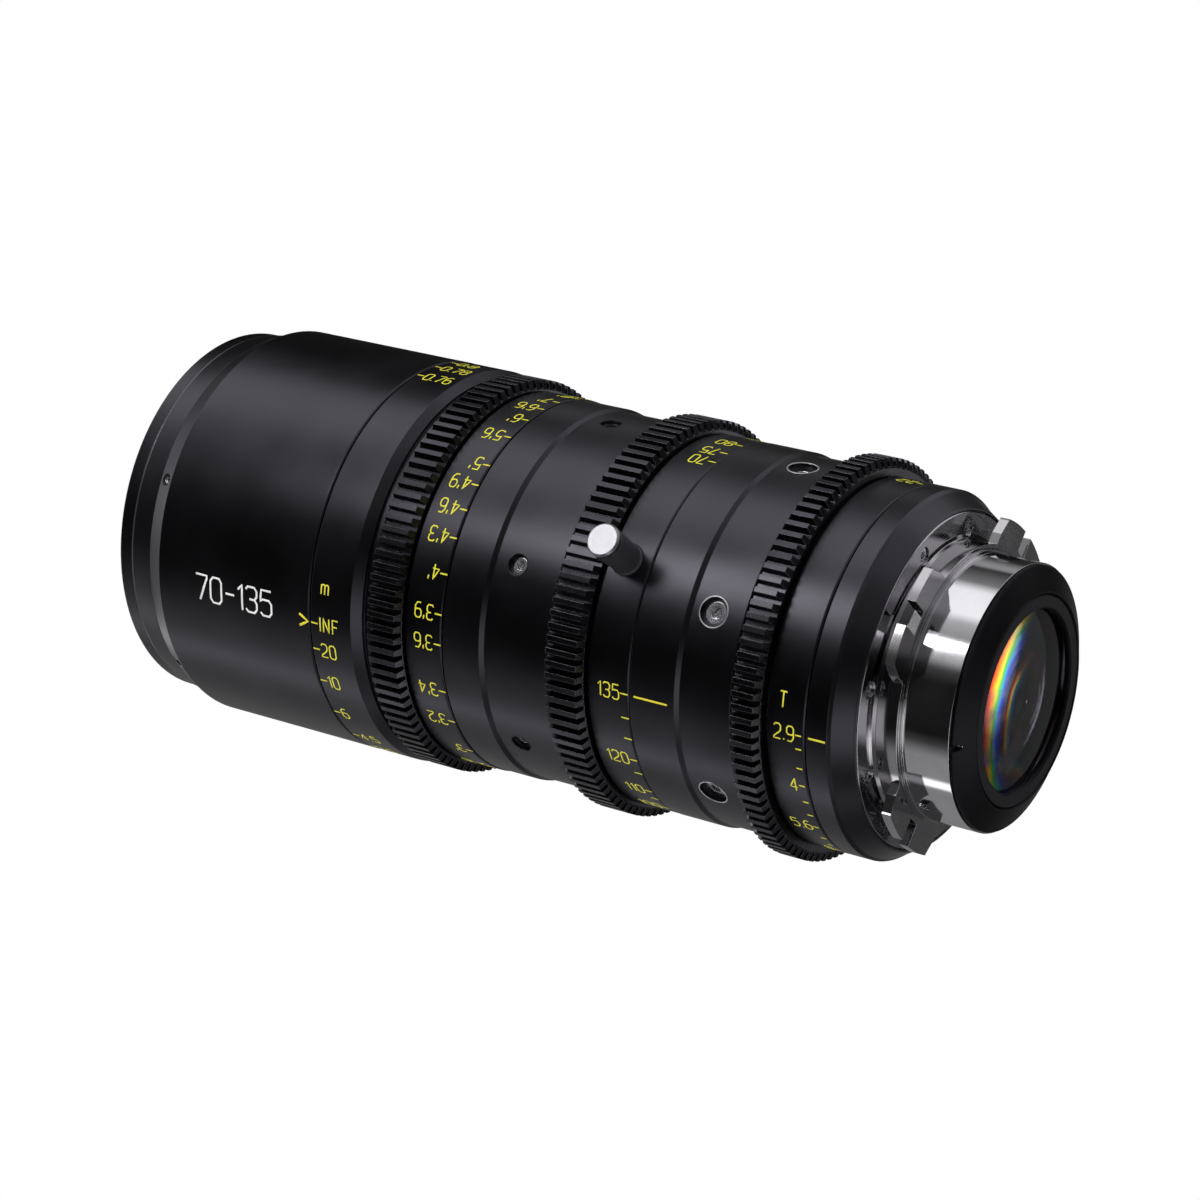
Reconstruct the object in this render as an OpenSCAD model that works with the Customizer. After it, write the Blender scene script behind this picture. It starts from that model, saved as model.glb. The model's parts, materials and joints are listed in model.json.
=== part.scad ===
// Cinema zoom lens, 70 to 135 mm, on a 54 mm bayonet mount with four wings
// The optical axis is X: the front rim looks along -X and the mount faces +X.
// The origin is the centre of the mount's flange seat, and +Z is up.
// Angles about the axis count from +Y through +Z; the index line lies at 180 degrees.

/* [Stations along the axis] */
// Height of the hub that lifts the wings off the mount base
hub_len = 5.5; // [4:0.1:8]
// Thickness of the mount base plate
mount_base_t = 3; // [2:0.1:4]
// Length of the rear barrel, its cone included
rear_barrel_len = 9.3; // [8:0.1:14]
// Length of the cone at the back of the rear barrel
rear_cone_len = 4.6; // [2:0.1:6]
// Length of the iris ring
iris_len = 16.2; // [15:0.1:20]
// Length of the fixed sleeve between the iris ring and the zoom ring
rear_sleeve_len = 22.8; // [18:0.1:30]
// Length of the raised band at the front of the rear sleeve
rear_sleeve_band_len = 10.3; // [6:0.1:14]
// Length of the zoom ring
zoom_len = 19.4; // [18:0.1:26]
// Length of the fixed sleeve between the zoom ring and the focus ring
front_sleeve_len = 25.1; // [20:0.1:32]
// Length of the raised band at the front of the front sleeve
front_sleeve_band_len = 9; // [6:0.1:14]
// Length of the focus ring
focus_len = 31.7; // [29:0.1:38]
// Length of the front barrel
front_barrel_len = 44.1; // [40:0.1:56]
// Length of the front rim
rim_len = 9.3; // [8.2:0.1:12]

/* [Radii] */
// How far the main tube stands out past the mount's barrel
tube_step = 7.9; // [7.6:0.05:9]
// Height of the front barrel over the main tube
barrel_rise = 7.75; // [7.2:0.05:9]
// How far the metre band of the focus ring lies below the front barrel
metre_band_step = 0.05; // [0:0.05:0.5]
// Height of the feet band over the seat of the focus gear
feet_band_step = 1.1; // [0.6:0.05:1.5]
// Height of the front sleeve over the main tube
front_sleeve_rise = 4.2; // [3.8:0.05:5]
// Height of the raised band over the front sleeve
front_sleeve_band_step = 0.65; // [0.3:0.05:1.2]
// Height of the zoom scale band over the main tube
zoom_band_rise = 3.95; // [3.6:0.05:4.8]
// Height of the rear sleeve over the main tube
rear_sleeve_rise = 3.45; // [3.2:0.05:4.5]
// Height of the raised band over the rear sleeve
rear_sleeve_band_step = 0.55; // [0.3:0.05:1.2]
// Height of the iris scale band over the main tube
iris_band_rise = 2.7; // [2.4:0.05:3.8]
// Drop from the front barrel to the front rim
rim_drop = 2.65; // [2:0.05:3]

/* [Gear rings] */
// Module of the three gear rings
gear_module = 0.8; // [0.7:0.01:0.9]
// How far the tips of the focus gear lie below the metre band
focus_tip_step = 0.2; // [0:0.05:0.8]
// Web of the zoom gear between its bore and the feet of its teeth
zoom_gear_web = 1.9; // [1.5:0.05:2.6]
// Web of the iris gear between its bore and the feet of its teeth
iris_gear_web = 2.6; // [2:0.05:3]
// Length of a tooth of the focus gear at its tip
focus_tooth_len = 6.3; // [4:0.1:7]
// Length of a tooth of the zoom and iris gears at its tip
tooth_len = 6.9; // [4:0.1:7.2]
// Length of the bevel at each end of a tooth
tooth_bevel = 0.9; // [0.4:0.05:1.2]

/* [Mount] */
// Radius of the barrel that enters the camera
mount_barrel_r = 27; // [26.9:0.01:27.1]
// Length of that barrel behind the flange seat
mount_barrel_len = 10.3; // [8:0.1:12]
// How far the four wings reach out past the mount's barrel
wing_reach = 7; // [6:0.05:7.1]
// Thickness of a wing
wing_t = 2; // [1.5:0.05:3]
// Width of a wing
wing_w = 20.6; // [16:0.1:24]
// Width of the index slot in the wing beside the index line
index_slot_w = 5; // [3:0.1:6]
// Width of the slots in the other three wings
wing_slot_w = 3.4; // [2:0.1:5]
// Wall of the mount's barrel
mount_wall = 2.5; // [2:0.05:3]
// Length of the black ring behind the mount barrel
rear_ring_len = 3.1; // [2.6:0.05:5]

/* [Front] */
// Wall of the front rim outside the filter thread
rim_wall = 1.5; // [1.2:0.05:2]
// Depth of the filter thread
filter_depth = 4.6; // [3:0.1:6]

/* [Travel] */
// Turn of the focus ring in degrees
focus_turn = 275; // [180:1:300]
// Turn of the zoom ring in degrees
zoom_turn = 100; // [60:1:105]
// Turn of the iris ring in degrees
iris_turn = 112; // [60:1:115]
// Travel of the focusing group
focus_travel = 12; // [6:0.1:12.5]
// Travel of the variator group
variator_travel = 20; // [12:0.1:20.5]
// Travel of the compensator group
compensator_travel = 6; // [3:0.1:7]

/* [Hidden] */

$fn = 96;
over = 0.5;               // overrun of a cut past the surface that it opens
run_gap = 0.08;           // radial clearance of a piece that turns or slides
seat_gap = 0.04;          // radial clearance of a piece that is screwed in place
seam_gap = 0.15;          // axial clearance at the end of a turning ring
edge = 0.35;              // small chamfer on an outer edge

body_col = "#2b2a2c";
chrome_col = "#c9c9cc";
glass_col = [0.5, 0.62, 0.7, 0.6];
brass_col = "#b79a55";
steel_col = "#8c8c90";
cap_col = "#dddde0";

// Stations, counted forwards from the flange seat
base_face_x = -hub_len;
base_back_x = base_face_x - mount_base_t;
rear_x = base_face_x - rear_barrel_len;
iris_x = rear_x - iris_len;
rear_sleeve_x = iris_x - rear_sleeve_len;
zoom_x = rear_sleeve_x - zoom_len;
front_sleeve_x = zoom_x - front_sleeve_len;
focus_x = front_sleeve_x - focus_len;
barrel_x = focus_x - front_barrel_len;
front_x = barrel_x - rim_len;

// Outer radii of the tube, rings, sleeves and barrels
tube_r = mount_barrel_r + tube_step;
barrel_r = tube_r + barrel_rise;
metre_band_r = barrel_r - metre_band_step;
front_sleeve_r = tube_r + front_sleeve_rise;
front_sleeve_band_r = front_sleeve_r + front_sleeve_band_step;
zoom_band_r = tube_r + zoom_band_rise;
zoom_seat_drop = 0.95;                             // from the scale band down to the gear seat
zoom_seat_r = zoom_band_r - zoom_seat_drop;
rear_sleeve_r = tube_r + rear_sleeve_rise;
rear_sleeve_band_r = rear_sleeve_r + rear_sleeve_band_step;
iris_band_r = tube_r + iris_band_rise;
iris_seat_drop = 0.8;
iris_seat_r = iris_band_r - iris_seat_drop;
rim_r = barrel_r - rim_drop;
filter_r = rim_r - rim_wall;
wing_r = mount_barrel_r + wing_reach;
mount_bore_r = mount_barrel_r - mount_wall;

// Main tube, which carries every ring and sleeve
tube_wall = 2.5;
tube_bore_r = tube_r - tube_wall;
tube_plate_t = 4;
tube_mouth_step = 2;
tube_back_x = base_back_x - seat_gap;
tube_nose_len = 6;                                 // how far the tube runs into the front barrel
tube_front_x = focus_x - tube_nose_len;
tube_mouth_r = mount_bore_r + tube_mouth_step;
sleeve_bore_r = tube_r + seat_gap;
ring_bore_r = tube_r + run_gap;

// Turns a profile of [x, r] points round the optical axis
module turned(points) {
    rotate([0, 90, 0]) rotate_extrude() polygon([for (p = points) [p[1], p[0]]]);
}

// A ring of one section from x0 to x1
module ring(x0, x1, inner, outer) {
    turned([[x0, inner], [x0, outer], [x1, outer], [x1, inner]]);
}

// A round bar along the axis
module bar(x0, x1, r) {
    translate([x0, 0, 0]) rotate([0, 90, 0]) cylinder(r = r, h = x1 - x0);
}

// A round bar that points outwards at an angle, from radius r0 to r1
module spoke(x, angle, r0, r1, r) {
    rotate([angle, 0, 0]) translate([x, r0, 0]) rotate([-90, 0, 0]) cylinder(r = r, h = r1 - r0);
}

// A slot through the wall along the axis, with round ends
module axial_slot(x0, x1, angle, r0, r1, half) {
    spoke(x0, angle, r0, r1, half);
    spoke(x1, angle, r0, r1, half);
    rotate([angle, 0, 0]) translate([x0, r0, -half]) cube([x1 - x0, r1 - r0, 2 * half]);
}

// A slot through the wall round the axis, between two angles
module turn_slot(x, angle0, angle1, r0, r1, half) {
    rotate([angle0, 0, 0]) rotate([0, 90, 0]) rotate([0, 0, 90])
        rotate_extrude(angle = angle1 - angle0)
            translate([r0, x - half]) square([r1 - r0, 2 * half]);
}

// A socket-head screw along +Z, with its head's top at z = 0
module socket_screw(head_r, head_h, shank_r, len, socket_r) {
    difference() {
        union() {
            translate([0, 0, -head_h]) cylinder(r = head_r, h = head_h, $fn = 32);
            translate([0, 0, -len]) cylinder(r = shank_r, h = len - head_h + over / 4, $fn = 24);
        }
        translate([0, 0, -head_h / 2]) cylinder(r = socket_r, h = head_h, $fn = 6);
    }
}

// Places a screw on a radius so that its head points outwards
module radial(x, angle, r) {
    rotate([angle, 0, 0]) translate([x, r, 0]) rotate([-90, 0, 0]) children();
}

// Depth of a spherical face of radius face_r at a distance y from the axis
function sag(y, face_r) = abs(face_r) - sqrt(face_r * face_r - y * y);
// Distance of a face behind its foremost point; a negative radius is a hollow face
function face_at(y, r, face_r) = face_r > 0 ? sag(y, face_r) : sag(r, face_r) - sag(y, face_r);
face_steps = 12;

// A lens element with two spherical faces between x0 and x1
module element(x0, x1, r, front_face_r, rear_face_r) {
    turned(concat(
        [for (i = [0 : face_steps]) let (y = r * i / face_steps) [x0 + face_at(y, r, front_face_r), y]],
        [for (i = [face_steps : -1 : 0]) let (y = r * i / face_steps) [x1 - face_at(y, r, rear_face_r), y]]));
}

// Radii of the glasses' faces
front_face_r = 118;
far_face_r = 420;
second_face_r = 150;
focus_face_r = 110;
rear_face_r = 150;

// Gear rings

// Share of the pitch that the tooth's top and its foot take
tooth_top_share = 0.44;
tooth_foot_share = 0.66;
tooth_depth_share = 2.25;   // depth of a tooth in modules
function tip_r(teeth) = gear_module * (teeth / 2 + 1);
function root_r(teeth) = tip_r(teeth) - tooth_depth_share * gear_module;
// Whole number of teeth whose tips, or whose feet, come nearest to a radius
function teeth_to_tip(r) = round(2 * (r / gear_module - 1));
function teeth_on_foot(r) = round(2 * (r / gear_module - 1 + tooth_depth_share));
focus_teeth = teeth_to_tip(metre_band_r - focus_tip_step);
zoom_teeth = teeth_on_foot(zoom_seat_r + zoom_gear_web);
iris_teeth = teeth_on_foot(iris_seat_r + iris_gear_web);

module gear_outline(teeth) {
    pitch = 360 / teeth;
    top = tip_r(teeth);
    foot = root_r(teeth);
    polygon([for (i = [0 : teeth - 1]) for (s = [
        [foot, -tooth_foot_share], [top, -tooth_top_share], [top, tooth_top_share], [foot, tooth_foot_share]])
        [s[0] * cos(pitch * (i + s[1] / 2)), s[0] * sin(pitch * (i + s[1] / 2))]]);
}

// A toothed ring from x0 to x1 whose teeth are bevelled down to their feet at both ends
module gear_ring(x0, x1, bore, teeth) {
    top = tip_r(teeth);
    foot = root_r(teeth);
    collar = foot - gear_collar_drop;
    difference() {
        intersection() {
            translate([x0, 0, 0]) rotate([0, 90, 0]) linear_extrude(height = x1 - x0) gear_outline(teeth);
            turned([[x0, 0], [x0, collar], [x0 + tooth_bevel, top + over], [x1 - tooth_bevel, top + over],
                [x1, collar], [x1, 0]]);
        }
        bar(x0 - over, x1 + over, bore);
    }
}
gear_collar_drop = 0.2;

// Focus ring

focus_cup_depth = 6;                               // depth of the wider mouth of the ring
focus_bearing_x = focus_x + focus_cup_depth;
focus_cup_wall = 3;
focus_gear_reach = 22.2;                           // rear end of the gear, from the ring's front
focus_gear_x1 = focus_x + focus_gear_reach;
focus_gear_x0 = focus_gear_x1 - focus_tooth_len - 2 * tooth_bevel;
focus_gear_web = 1.7;                              // between the gear's bore and the feet of its teeth
focus_seat_r = root_r(focus_teeth) - focus_gear_web;
feet_band_r = focus_seat_r + feet_band_step;
focus_recess_r = root_r(focus_teeth);              // floor of the groove in front of the gear
band_chamfer = 2.1;                                // length of the bright chamfer behind the metre band
band_chamfer_drop = 1.3;
metre_band_len = 10.6;                             // length of the metre band in front of its chamfer

module focus_ring() {
    x0 = focus_x + seam_gap;
    x1 = front_sleeve_x - seam_gap;
    band_end = focus_x + metre_band_len;
    color(body_col) difference() {
        turned([
            [x0, metre_band_r - focus_cup_wall], [x0, metre_band_r - edge], [x0 + edge, metre_band_r],
            [band_end, metre_band_r], [band_end + band_chamfer, metre_band_r - band_chamfer_drop],
            [band_end + band_chamfer, focus_recess_r], [focus_gear_x0 - seat_gap, focus_recess_r],
            [focus_gear_x0 - seat_gap, focus_seat_r], [focus_gear_x1 + edge, focus_seat_r],
            [focus_gear_x1 + edge + focus_fillet, feet_band_r],
            [x1 - edge, feet_band_r], [x1, feet_band_r - edge / 2], [x1, ring_bore_r],
            [focus_bearing_x, ring_bore_r], [focus_bearing_x, metre_band_r - focus_cup_wall]]);
        for (i = [0 : follower_count - 1])
            helix_cut(focus_pin_x, focus_travel, i * follower_step, focus_turn,
                ring_bore_r - over, focus_groove_r, focus_steps);
    }
}
focus_fillet = 0.3;                                // slope from the gear seat up to the feet band
focus_groove_depth = 1.9;
focus_groove_r = tube_r + focus_groove_depth;      // floor of the helical grooves in the ring
focus_steps = 48;

module focus_gear() {
    color(body_col) gear_ring(focus_gear_x0, focus_gear_x1, focus_seat_r + seat_gap, focus_teeth);
}

// Zoom ring

zoom_gear_inset = 0.5;
zoom_gear_x0 = zoom_x + zoom_gear_inset;
zoom_gear_x1 = zoom_gear_x0 + tooth_len + 2 * tooth_bevel;
zoom_fillet = 0.3;                                 // slope from the gear seat up to the band

module zoom_ring() {
    x0 = zoom_x + seam_gap;
    x1 = rear_sleeve_x - seam_gap;
    color(body_col) difference() {
        turned([
            [x0, ring_bore_r], [x0, zoom_seat_r], [zoom_gear_x1 + edge, zoom_seat_r],
            [zoom_gear_x1 + edge + zoom_fillet, zoom_band_r],
            [x1 - edge, zoom_band_r], [x1, zoom_band_r - edge / 2], [x1, ring_bore_r]]);
        spoke(zoom_key_x, zoom_key_angle, tube_r, zoom_key_top_r + over / 2, key_r + seat_gap);
        spoke(lever_x, lever_angle, lever_foot_r - seat_gap, zoom_band_r + over, lever_foot_pin_r + seat_gap);
        spoke(lever_x, lever_angle, lever_seat_r - seat_gap / 2, zoom_band_r + over,
            lever_collar_r + seat_gap);
    }
}

module zoom_gear() {
    color(body_col) gear_ring(zoom_gear_x0, zoom_gear_x1, zoom_seat_r + seat_gap, zoom_teeth);
}

// Zoom lever: a tapered stem on the band with a bright cap on its end

lever_inset = 5.9;                                 // lever's axis, from the ring's rear end
lever_x = rear_sleeve_x - lever_inset;
lever_angle = 141;
lever_foot_depth = 2.45;
lever_foot_r = zoom_band_r - lever_foot_depth;     // radius at which the threaded foot ends
lever_foot_pin_r = 1.5;
lever_collar_r = 3.4;
lever_collar_h = 0.5;
lever_base_r = 3.15;                               // stem radius at the collar
lever_tip_r = 3.5;                                 // stem radius at the cap
lever_reach = 11.2;
lever_top_r = zoom_band_r + lever_reach;           // distance of the cap's top from the axis
lever_cap_h = 1.5;
lever_cap_pin_r = 1.2;
lever_cap_pin_len = 3;
lever_flat_depth = 0.25;
lever_seat_r = zoom_band_r - lever_flat_depth;     // flat spot on the band that the collar stands on

module zoom_lever() {
    stem_top = lever_top_r - lever_cap_h;
    color(body_col) radial(lever_x, lever_angle, 0) difference() {
        union() {
            translate([0, 0, lever_foot_r])
                cylinder(r = lever_foot_pin_r, h = lever_seat_r - lever_foot_r + over);
            rotate_extrude() polygon([
                [0, lever_seat_r], [lever_collar_r, lever_seat_r],
                [lever_collar_r, lever_seat_r + lever_collar_h],
                [lever_base_r, lever_seat_r + lever_collar_h + edge],
                [lever_tip_r, stem_top], [0, stem_top]]);
        }
        translate([0, 0, stem_top - lever_cap_pin_len])
            cylinder(r = lever_cap_pin_r + seat_gap, h = lever_cap_pin_len + over);
    }
}

module zoom_lever_cap() {
    stem_top = lever_top_r - lever_cap_h;
    color(cap_col) radial(lever_x, lever_angle, 0) {
        rotate_extrude() polygon([
            [0, stem_top], [lever_tip_r, stem_top], [lever_tip_r, lever_top_r - edge],
            [lever_tip_r - edge, lever_top_r], [0, lever_top_r]]);
        translate([0, 0, stem_top - lever_cap_pin_len + seat_gap])
            cylinder(r = lever_cap_pin_r, h = lever_cap_pin_len);
    }
}

// Iris ring

iris_gear_inset = 0.9;
iris_gear_x0 = iris_x + iris_gear_inset;
tooth_trim = 2.3;                                  // how much shorter the iris gear's teeth are
iris_gear_x1 = iris_gear_x0 + tooth_len - tooth_trim + 2 * tooth_bevel;

iris_fillet = 0.3;                                 // slope from the gear seat up to the band

module iris_ring() {
    x0 = iris_x + seam_gap;
    x1 = rear_x - seam_gap;
    color(body_col) difference() {
        turned([
            [x0, ring_bore_r], [x0, iris_seat_r], [iris_gear_x1 + edge, iris_seat_r],
            [iris_gear_x1 + edge + iris_fillet, iris_band_r],
            [x1 - edge, iris_band_r], [x1, iris_band_r - edge / 2], [x1, ring_bore_r]]);
        spoke(iris_key_x, iris_key_angle, tube_r, iris_key_top_r + over / 2, key_r + seat_gap);
    }
}

module iris_gear() {
    color(body_col) gear_ring(iris_gear_x0, iris_gear_x1, iris_seat_r + seat_gap, iris_teeth);
}

// Keys that carry the turn of a ring through the main tube

key_r = 1.8;
zoom_key_inset = 11.2;
zoom_key_x = zoom_x + zoom_key_inset;
zoom_key_angle = 60;
zoom_key_rise = 2.1;
zoom_key_top_r = tube_r + zoom_key_rise;
iris_key_inset = 5.2;
iris_key_x = rear_x - iris_key_inset;
iris_key_angle = 66;
iris_key_rise = 1.3;
iris_key_top_r = tube_r + iris_key_rise;

module zoom_key() {
    color(steel_col) spoke(zoom_key_x, zoom_key_angle, cam_bore_r + edge, zoom_key_top_r, key_r);
}

module iris_key() {
    color(steel_col) spoke(iris_key_x, iris_key_angle, drive_rim_r + edge / 2, iris_key_top_r, key_r);
}

// Main tube with the straight slots that keep the groups from turning

screw_count = 6;
screw_step = 360 / screw_count;
screw_angle = 30;
front_screw_inset = 15;
front_screw_x = front_sleeve_x + front_screw_inset;
rear_screw_inset = 15.9;
rear_screw_x = rear_sleeve_x + rear_screw_inset;
follower_count = 3;
follower_step = 360 / follower_count;
follower_r = 1.5;
slot_half = follower_r + run_gap;
focus_pin_inset = 22;
focus_pin_x = focus_x + focus_pin_inset;
variator_pin_inset = 1.2;
variator_pin_x = zoom_x + variator_pin_inset;
compensator_pin_inset = 6.8;
compensator_pin_x = rear_sleeve_x + compensator_pin_inset;
compensator_angle = 60;
slack_angle = 4;                                    // degrees that a key's slot runs past the travel
screw_shank_r = 1;

module main_tube() {
    color(steel_col) difference() {
        turned([
            [tube_front_x, tube_bore_r], [tube_front_x, tube_r], [tube_back_x, tube_r],
            [tube_back_x, tube_mouth_r], [tube_back_x - tube_plate_t, tube_mouth_r],
            [tube_back_x - tube_plate_t, tube_bore_r]]);
        for (i = [0 : follower_count - 1]) {
            axial_slot(focus_pin_x - focus_travel, focus_pin_x, i * follower_step,
                tube_bore_r - over, tube_r + over, slot_half);
            axial_slot(variator_pin_x - variator_travel, variator_pin_x, i * follower_step,
                tube_bore_r - over, tube_r + over, slot_half);
            axial_slot(compensator_pin_x - compensator_travel, compensator_pin_x,
                compensator_angle + i * follower_step, tube_bore_r - over, tube_r + over, slot_half);
        }
        turn_slot(zoom_key_x, zoom_key_angle - zoom_turn - slack_angle, zoom_key_angle + slack_angle,
            tube_bore_r - over, tube_r + over, key_r + run_gap);
        turn_slot(iris_key_x, iris_key_angle - iris_turn - slack_angle, iris_key_angle + slack_angle,
            tube_bore_r - over, tube_r + over, key_r + run_gap);
        for (i = [0 : screw_count - 1]) for (x = [front_screw_x, rear_screw_x])
            spoke(x, screw_angle + i * screw_step, tube_bore_r - over, tube_r + over,
                screw_shank_r + seat_gap);
        for (a = mount_screw_angles)
            rotate([a, 0, 0]) translate([0, mount_screw_circle_r, 0])
                bar(tube_back_x - mount_screw_grip - edge, tube_back_x + over,
                    mount_screw_shank_r + seat_gap);
    }
}

// Fixed sleeves with their screws

front_head_r = 1.75;
front_cup_r = 2.2;
rear_head_r = 2.3;
rear_cup_r = 3;
cup_depth = 0.9;
head_sink = 0.25;                                  // how far a head lies below the bottom edge of its cup
head_h = 1.5;
sleeve_slope = 0.95;                               // bright slope behind the raised band

module screw_cups(x, r, cup_r, head_r) {
    for (i = [0 : screw_count - 1]) {
        a = screw_angle + i * screw_step;
        spoke(x, a, r - cup_depth, r + over, cup_r);
        spoke(x, a, r - cup_depth - head_sink - head_h - seat_gap, r, head_r + seat_gap);
        spoke(x, a, tube_r - over, r, screw_shank_r + seat_gap);
    }
}

module sleeve_screws(x, r, head_r) {
    top = r - cup_depth - head_sink;
    for (i = [0 : screw_count - 1])
        radial(x, screw_angle + i * screw_step, top)
            socket_screw(head_r, head_h, screw_shank_r, top - tube_bore_r - edge, head_r / 2);
}

module sleeve(x0, x1, band_len, r, band_r) {
    turned([
        [x0, sleeve_bore_r], [x0, band_r - edge / 2], [x0 + edge / 2, band_r], [x0 + band_len, band_r],
        [x0 + band_len + sleeve_slope, r], [x1 - edge / 2, r], [x1, r - edge / 2], [x1, sleeve_bore_r]]);
}

module front_sleeve() {
    color(body_col) difference() {
        sleeve(front_sleeve_x, zoom_x, front_sleeve_band_len, front_sleeve_r, front_sleeve_band_r);
        screw_cups(front_screw_x, front_sleeve_r, front_cup_r, front_head_r);
    }
}

module front_sleeve_screws() {
    color(steel_col) sleeve_screws(front_screw_x, front_sleeve_r, front_head_r);
}

module rear_sleeve() {
    color(body_col) difference() {
        sleeve(rear_sleeve_x, iris_x, rear_sleeve_band_len, rear_sleeve_r, rear_sleeve_band_r);
        screw_cups(rear_screw_x, rear_sleeve_r, rear_cup_r, rear_head_r);
    }
}

module rear_sleeve_screws() {
    color(steel_col) sleeve_screws(rear_screw_x, rear_sleeve_r, rear_head_r);
}

// Front barrel, rim and front group

barrel_wall = 2.8;
barrel_bore_r = barrel_r - barrel_wall;
barrel_web_t = 4;                                  // web that seats the barrel on the main tube
grub_band_len = 4;                                 // sloping band that holds the grub screws
grub_band_drop = 1.7;
grub_band_x = barrel_x + grub_band_len;
grub_screw_x = barrel_x + grub_band_len / 2;
grub_slope = grub_band_drop / grub_band_len;
grub_r = 1.25;
grub_depth = 1.25;
rim_line_reach = 3.7;                              // bright line round the rim, from its front end
rim_line_x = front_x + rim_line_reach;
rim_line_w = 0.35;
rim_line_depth = 0.15;
rim_lip = 0.15;
front_cell_clear = 17.3;                           // room left between the front cell and the focus ring
front_cell_back_x = focus_x - front_cell_clear;

module front_barrel() {
    web = focus_x - barrel_web_t;
    color(body_col) difference() {
        turned([
            [focus_x, sleeve_bore_r], [focus_x, barrel_r - edge / 2], [focus_x - edge, barrel_r],
            [grub_band_x, barrel_r], [barrel_x, barrel_r - grub_band_drop], [barrel_x, barrel_bore_r],
            [web, barrel_bore_r],
            [web, sleeve_bore_r]]);
        for (i = [0 : screw_count - 1])
            spoke(grub_screw_x, screw_angle + i * screw_step,
                barrel_bore_r - over, barrel_r + over, grub_r + seat_gap);
    }
}

module front_grub_screws() {
    top = barrel_r - grub_band_drop / 2 - grub_r * grub_slope - edge / 4;
    color(steel_col) for (i = [0 : screw_count - 1])
        radial(grub_screw_x, screw_angle + i * screw_step, top)
            socket_screw(grub_r, grub_depth / 2, grub_r, grub_depth, grub_r / 2);
}

module front_rim() {
    color(body_col) turned([
        [barrel_x, rim_seat_r], [barrel_x, barrel_r - grub_band_drop],
        [rim_line_x + rim_line_w / 2, rim_r + rim_lip], [rim_line_x - rim_line_w / 2, rim_r - rim_line_depth],
        [rim_line_x - rim_line_w, rim_r], [front_x + edge, rim_r], [front_x, rim_r - edge],
        [front_x, filter_r], [front_x + filter_depth, filter_r], [front_x + filter_depth, rim_spigot_r],
        [barrel_x + rim_spigot_len, rim_spigot_r], [barrel_x + rim_spigot_len, rim_seat_r]]);
}
rim_seat_r = barrel_bore_r - seat_gap;
rim_spigot_wall = 2.1;
rim_spigot_r = rim_seat_r - rim_spigot_wall;
rim_spigot_len = 3.4;

// The front cell holds two elements and a threaded retainer
front_cell_wall = 3.85;
second_seat_step = 3;
front_seat_r = barrel_bore_r - front_cell_wall;
second_seat_r = front_seat_r - second_seat_step;
cell_lip = 1.6;
front_glass_inset = 1.4;
front_glass_x = barrel_x + rim_spigot_len + front_glass_inset;
front_glass_r = front_seat_r - seat_gap;
second_glass_r = second_seat_r - seat_gap;
front_glass_edge_t = 1.9;
second_glass_middle_t = 1.1;
front_glass_t = front_glass_edge_t + sag(front_glass_r, front_face_r) + sag(front_glass_r, far_face_r);
second_glass_t = second_glass_middle_t + sag(second_glass_r, far_face_r) + sag(second_glass_r, second_face_r);
second_glass_x = front_glass_x + front_glass_t + cell_lip;
retainer_t = 2.4;

module front_cell() {
    x0 = barrel_x + rim_spigot_len + seat_gap;
    bore = second_seat_r + cell_lip / 2;
    seat = front_glass_x + front_glass_t - sag(bore, far_face_r) + seat_gap;
    second_x1 = second_glass_x + second_glass_t + seat_gap;
    color(body_col) turned([
        [x0, front_seat_r], [x0, barrel_bore_r - seat_gap], [front_cell_back_x, barrel_bore_r - seat_gap],
        [front_cell_back_x, second_seat_r - cell_lip], [second_x1, second_seat_r - cell_lip],
        [second_x1, second_seat_r], [second_glass_x, second_seat_r], [second_glass_x, bore],
        [seat, bore], [seat, front_seat_r]]);
}

module front_element() {
    color(glass_col) element(front_glass_x, front_glass_x + front_glass_t, front_glass_r,
        front_face_r, far_face_r);
}

module second_element() {
    color(glass_col) element(second_glass_x, second_glass_x + second_glass_t, second_glass_r,
        -far_face_r, -second_face_r);
}

module front_retainer() {
    mouth = front_seat_r - cell_lip;
    x1 = front_glass_x + sag(mouth, front_face_r) - seat_gap;
    x0 = x1 - retainer_t;
    color(body_col) turned([
        [x0, mouth + edge], [x0, front_seat_r - seat_gap], [x1, front_seat_r - seat_gap],
        [x1, mouth], [x0 + edge, mouth]]);
}

// Focusing group

focus_cell_r = tube_bore_r - run_gap;
focus_cell_len = 16;
focus_cell_tail = 3.4;                             // cell behind its followers
focus_cell_x1 = focus_pin_x + focus_cell_tail;
cell_wall = 3.5;

// A sliding cell with a seat for its glass at the front and a lip behind it
module group_cell(x0, x1, r, pin_x, turn) {
    difference() {
        turned([
            [x0, r - cell_wall], [x0, r], [x1, r], [x1, r - cell_wall - cell_lip],
            [x1 - cell_lip, r - cell_wall - cell_lip], [x1 - cell_lip, r - cell_wall]]);
        for (i = [0 : follower_count - 1])
            spoke(pin_x, turn + i * follower_step, r - cell_wall - over, r + over, follower_r + seat_gap);
    }
}

module followers(pin_x, r, turn, top_r) {
    for (i = [0 : follower_count - 1])
        spoke(pin_x, turn + i * follower_step, r - cell_wall + edge, top_r, follower_r);
}

module focus_cell() {
    color(body_col) group_cell(focus_cell_x1 - focus_cell_len, focus_cell_x1, focus_cell_r, focus_pin_x, 0);
}

module focus_element() {
    x0 = focus_cell_x1 - focus_cell_len;
    color(glass_col) element(x0 + cell_lip, focus_cell_x1 - cell_lip - seat_gap,
        focus_cell_r - cell_wall - seat_gap, second_face_r, -focus_face_r);
}

module focus_followers() {
    color(brass_col) followers(focus_pin_x, focus_cell_r, 0, focus_groove_r - edge);
}

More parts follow.
